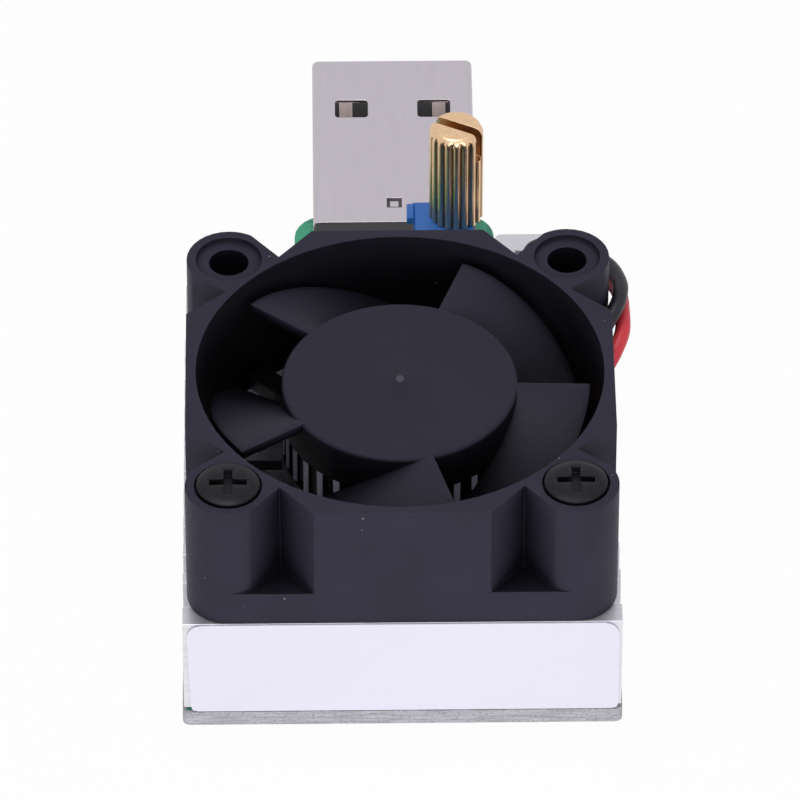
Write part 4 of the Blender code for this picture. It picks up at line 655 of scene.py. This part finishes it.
# Painted shade: the duct's wall is darkened towards near black, standing in for the shade inside the duct
tree = fan_black.node_tree
reach, height = from_axis(tree, FAN_TOP_CENTRE)
painted_duct_shade = sums(tree, "MULTIPLY", sums(tree, "LESS_THAN", reach, DUCT_RADIUS + 0.00005),
            sums(tree, "LESS_THAN", height, FAN_TOP_CENTRE.z - 0.0001))
retint(tree, sums(tree, "MULTIPLY", painted_duct_shade, 0.55), linear(8, 8, 9))
dress(fan_black, "fan_frame", edge=0.00004)


# Fan screws
# Two black-oxide screws with cross recesses, through the front ears into the heatsink's fins. The
# back ears are left empty.

black_oxide = metal("black oxide", linear(31, 30, 34), 0.42, contrast=0.16, metallic=0.85)
dress(black_oxide, "fan_screw_left", "fan_screw_right", edge=0.00003)


# Fan motor
# Inside the hub: a steel yoke and ring magnet turn with the shaft, round four coils on a laminated
# core. A bronze sleeve carries the shaft, a nylon clip keeps it in, and a small board drives it.

yoke_steel = metal("yoke steel", linear(150, 150, 154), 0.35)
ring_ferrite = moulded("bonded ferrite", linear(52, 50, 50), 0.65, scale=5000.0)
ground_shaft = metal("ground shaft", linear(200, 200, 204), 0.18, stretch=(1.0, 1.0, 8.0))
clip_nylon = moulded("clip nylon", linear(214, 212, 204), 0.5, contrast=0.05)
sleeve_bronze = metal("sintered bronze", linear(168, 128, 78), 0.45, scale=5000.0, contrast=0.2)
core_laminations = metal("core laminations", linear(122, 124, 130), 0.4, stretch=(0.05, 0.05, 3.0),
                         contrast=0.3, relief=0.00002)
enamelled_copper = metal("enamelled copper", linear(176, 92, 50), 0.3, stretch=(0.1, 0.1, 2.4),
                         contrast=0.3, relief=0.00003)
driver_board = moulded("driver board mask", linear(26, 96, 58), 0.42, contrast=0.25, scale=6000.0)
dress(yoke_steel, "rotor_yoke")
dress(ring_ferrite, "rotor_magnet")
dress(ground_shaft, "fan_shaft", edge=0)
dress(clip_nylon, "retaining_clip")
dress(sleeve_bronze, "bearing_sleeve")
dress(core_laminations, "stator_core")
dress(enamelled_copper, "stator_coil_1", "stator_coil_2", "stator_coil_3", "stator_coil_4", edge=0.0003)
dress(driver_board, "stator_board", edge=0)


# Impeller
# One black moulding, a shade smoother than the frame: a hub cup with a rounded edge and the mould's
# pip at its centre, fine ribs round its skirt, and five twisted blades.

FAN_AXIS = Vector((0.0, -0.0179, 0.0119))
HUB_RADIUS = 0.00831
HUB_TOP = 0.0092
HUB_FOOT = 0.0014
HUB_WALL = 0.00075
HUB_CEILING = 0.0084
BOSS_RADIUS = 0.00195
BOSS_FOOT = 0.0073
SHAFT_BORE_RADIUS = 0.00095
SHAFT_BORE_TOP = 0.0088
PIP_RADIUS = 0.00037
SKIRT_GROOVE = 0.0003
RIB_LOW = 0.0031
RIB_HIGH = 0.006
RIB_COUNT = 35
RIB_WIDTH = 0.0005
BLADE_COUNT = 5
BLADE_FIRST = math.radians(70)
BLADE_SWEEP = math.radians(63)
BLADE_TIP = 0.01335
BLADE_DROP = 0.0063
BLADE_THICKNESS = 0.0007

impeller_mesh = bmesh.new()
profile = [
    (0, HUB_TOP + 0.0003), (PIP_RADIUS / 2, HUB_TOP + 0.00028), (PIP_RADIUS * 0.8, HUB_TOP + 0.00018),
    (PIP_RADIUS, HUB_TOP), (0.0028, HUB_TOP), (0.0055, HUB_TOP), (HUB_RADIUS - 0.00041, HUB_TOP),
    (HUB_RADIUS - 0.00025, HUB_TOP - 0.00003), (HUB_RADIUS - 0.00012, HUB_TOP - 0.0001),
    (HUB_RADIUS - 0.00003, HUB_TOP - 0.00021), (HUB_RADIUS, HUB_TOP - 0.00035), (HUB_RADIUS, RIB_HIGH),
    (HUB_RADIUS - SKIRT_GROOVE, RIB_HIGH), (HUB_RADIUS - SKIRT_GROOVE, RIB_LOW),
    (HUB_RADIUS, RIB_LOW), (HUB_RADIUS, HUB_FOOT), (HUB_RADIUS - HUB_WALL, HUB_FOOT),
    (HUB_RADIUS - HUB_WALL, HUB_CEILING), (BOSS_RADIUS, HUB_CEILING), (BOSS_RADIUS, BOSS_FOOT),
    (SHAFT_BORE_RADIUS, BOSS_FOOT), (SHAFT_BORE_RADIUS, SHAFT_BORE_TOP), (0, SHAFT_BORE_TOP),
]
line = [impeller_mesh.verts.new((radius, 0, height)) for radius, height in profile]
edges = [impeller_mesh.edges.new(pair) for pair in zip(line, line[1:])]
bmesh.ops.spin(impeller_mesh, geom=line + edges, cent=(0, 0, 0), axis=(0, 0, 1), angle=math.tau, steps=96,
               use_merge=True)
bmesh.ops.remove_doubles(impeller_mesh, verts=impeller_mesh.verts, dist=0.000002)
bmesh.ops.recalc_face_normals(impeller_mesh, faces=impeller_mesh.faces)

for i in range(RIB_COUNT):
    size = Vector((2 * SKIRT_GROOVE, RIB_WIDTH, RIB_HIGH - RIB_LOW + 0.0001))
    turn = Matrix.Rotation(math.tau * i / RIB_COUNT, 4, "Z")
    seat = Matrix.Translation((HUB_RADIUS - 0.00002 - SKIRT_GROOVE, 0, (RIB_HIGH + RIB_LOW) / 2))
    bmesh.ops.create_cube(impeller_mesh, size=1.0, matrix=turn @ seat @ Matrix.Diagonal((*size, 1)))


def blade_place(radial, chord):
    """A point in the middle of a blade: radial runs out to the tip, chord back from its leading edge."""
    root = HUB_RADIUS - SKIRT_GROOVE - SKIRT_GROOVE / 2
    radius = root + (BLADE_TIP - root) * radial
    height = HUB_TOP - BLADE_THICKNESS / 2 - BLADE_DROP * chord ** 1.5
    return Matrix.Rotation(-BLADE_SWEEP * chord, 3, "Z") @ Vector((radius, 0, height))


for i in range(BLADE_COUNT):
    blade_mesh = bmesh.new()
    bmesh.ops.create_grid(blade_mesh, x_segments=10, y_segments=28, size=0.5)
    for vert in blade_mesh.verts:
        vert.co = blade_place(vert.co.x + 0.5, vert.co.y + 0.5)
    bmesh.ops.recalc_face_normals(blade_mesh, faces=blade_mesh.faces)
    if sum(skin.normal.z for skin in blade_mesh.faces) < 0:
        bmesh.ops.reverse_faces(blade_mesh, faces=blade_mesh.faces)
    for vert in blade_mesh.verts:
        vert.co += vert.normal * BLADE_THICKNESS / 2
    bmesh.ops.solidify(blade_mesh, geom=blade_mesh.faces[:], thickness=BLADE_THICKNESS)
    bmesh.ops.rotate(blade_mesh, matrix=Matrix.Rotation(BLADE_FIRST + math.tau * i / BLADE_COUNT, 3, "Z"),
                     verts=blade_mesh.verts)
    blade_data = bpy.data.meshes.new("blade")
    blade_mesh.to_mesh(blade_data)
    blade_mesh.free()
    impeller_mesh.from_mesh(blade_data)
    bpy.data.meshes.remove(blade_data)

bmesh.ops.translate(impeller_mesh, vec=FAN_AXIS, verts=impeller_mesh.verts)
for skin in impeller_mesh.faces:
    skin.smooth = True
impeller_data = bpy.data.meshes.new("fan_impeller")
impeller_mesh.to_mesh(impeller_data)
impeller_mesh.free()
impeller = bpy.data.objects.new("fan_impeller", impeller_data)
scene.collection.objects.link(impeller)
round_edges(impeller, 0.00009, 45.0)

# corners paints shade between the blades and round the hub
impeller_black = moulded("satin black moulding", linear(48, 46, 58), 0.46, contrast=0.06, scale=2600.0,
                         relief=0.000004, corners=0.009, specular=0.08)
# Painted highlights: the ribs' crests and the pip's crown are painted paler, standing in for light that
# catches them
tree = impeller_black.node_tree
reach, height = from_axis(tree, FAN_TOP_CENTRE)
painted_rib_highlight = sums(tree, "MULTIPLY", sums(tree, "GREATER_THAN", reach, HUB_RADIUS - SKIRT_GROOVE / 2),
             sums(tree, "LESS_THAN", reach, HUB_RADIUS + 0.00002))
painted_rib_highlight = sums(tree, "MULTIPLY", painted_rib_highlight, sums(tree, "LESS_THAN", height, FAN_AXIS.z + RIB_HIGH))
painted_rib_highlight = sums(tree, "MULTIPLY", painted_rib_highlight, sums(tree, "GREATER_THAN", height, FAN_AXIS.z + RIB_LOW))
rise = node(tree, "SeparateXYZ", {0: node(tree, "TexCoord").outputs["Normal"]}).outputs[2]
painted_rib_highlight = sums(tree, "MULTIPLY", painted_rib_highlight, sums(tree, "LESS_THAN", sums(tree, "ABSOLUTE", rise), 0.2))
retint(tree, painted_rib_highlight, linear(190, 188, 206))
painted_pip_highlight = sums(tree, "MULTIPLY", sums(tree, "LESS_THAN", reach, PIP_RADIUS),
             sums(tree, "GREATER_THAN", height, FAN_AXIS.z + HUB_TOP + 0.0001))
retint(tree, painted_pip_highlight, linear(82, 80, 92))
impeller.data.materials.append(impeller_black)
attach(impeller, "rotor")
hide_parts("impeller")


# Fan connector
# A white two-way header is soldered to the board, and the leads' white housing is pushed into it.
# Each crimped terminal inside grips one square tinned pin.

header_white = moulded("white header nylon", linear(244, 244, 252), 0.44, contrast=0.03, scale=2400.0)
crimp_tin = metal("tinned crimp", linear(200, 198, 196), 0.32)
dress(header_white, "fan_header", "fan_plug_housing", edge=0.00008)
dress(crimp_tin, "crimp_terminal_1", "crimp_terminal_2", edge=0.00004)
dress(tinned_wire, "header_pin_1", "header_pin_2", edge=0.00004)


# Floor, lamps and background
# A plain white table under a wide, soft light from the front, as in a product photograph.

floor_mesh = bmesh.new()
bmesh.ops.create_grid(floor_mesh, x_segments=1, y_segments=1, size=3.0)
floor_data = bpy.data.meshes.new("floor")
floor_mesh.to_mesh(floor_data)
floor_mesh.free()
floor = bpy.data.objects.new("floor", floor_data)
scene.collection.objects.link(floor)


def looked_at(tree):
    """1 for a ray from the camera, straight, mirrored or through glass, and 0 for any other."""
    rays = node(tree, "LightPath").outputs
    turned = sums(tree, "MAXIMUM", rays["Is Glossy Ray"], rays["Is Transmission Ray"])
    return sums(tree, "MAXIMUM", rays["Is Camera Ray"], turned)


floor_finish = bpy.data.materials.new("white table")
floor_finish.use_nodes = True
tree = floor_finish.node_tree
paper = tree.nodes["Principled BSDF"]
paper.inputs["Roughness"].default_value = 0.9
paper.inputs["Specular IOR Level"].default_value = 0.0
fleck = node(tree, "TexNoise", {"Vector": node(tree, "TexCoord").outputs["Object"], "Scale": 60.0}).outputs[0]
tree.links.new(between(tree, fleck, linear(238, 238, 240), linear(242, 242, 244)),
               paper.inputs["Base Color"])
white = node(tree, "Emission", {"Color": (1.0, 1.0, 1.0, 1.0), "Strength": 1.0})
table = node(tree, "MixShader", {0: sums(tree, "MULTIPLY", looked_at(tree), 0.97), 1: paper.outputs[0],
                                 2: white.outputs[0]})
tree.links.new(table.outputs[0], tree.nodes["Material Output"].inputs["Surface"])
floor.data.materials.append(floor_finish)

world = bpy.data.worlds.new("studio")
world.use_nodes = True
tree = world.node_tree
sky = tree.nodes["Background"]
sky.inputs["Color"].default_value = (0.98, 0.97, 1.0, 1.0)
tree.links.new(spread(tree, looked_at(tree), 0.0, 1.0, 0.35, 1.0), sky.inputs["Strength"])
scene.world = world


def softbox(name, place, size, power):
    """A square lamp aimed at the fan."""
    lamp = bpy.data.lights.new(name, "AREA")
    lamp.size = size
    lamp.energy = power
    stand = bpy.data.objects.new(name, lamp)
    scene.collection.objects.link(stand)
    stand.location = place
    stand.rotation_euler = (Vector(place) - FAN_TOP_CENTRE).to_track_quat("Z", "Y").to_euler()


softbox("front_lamp", (0.04, -0.75, 0.12), 0.7, 4.1)
softbox("top_lamp", (-0.1, -0.1, 0.75), 0.4, 1.9)

scene.view_settings.view_transform = "Standard"
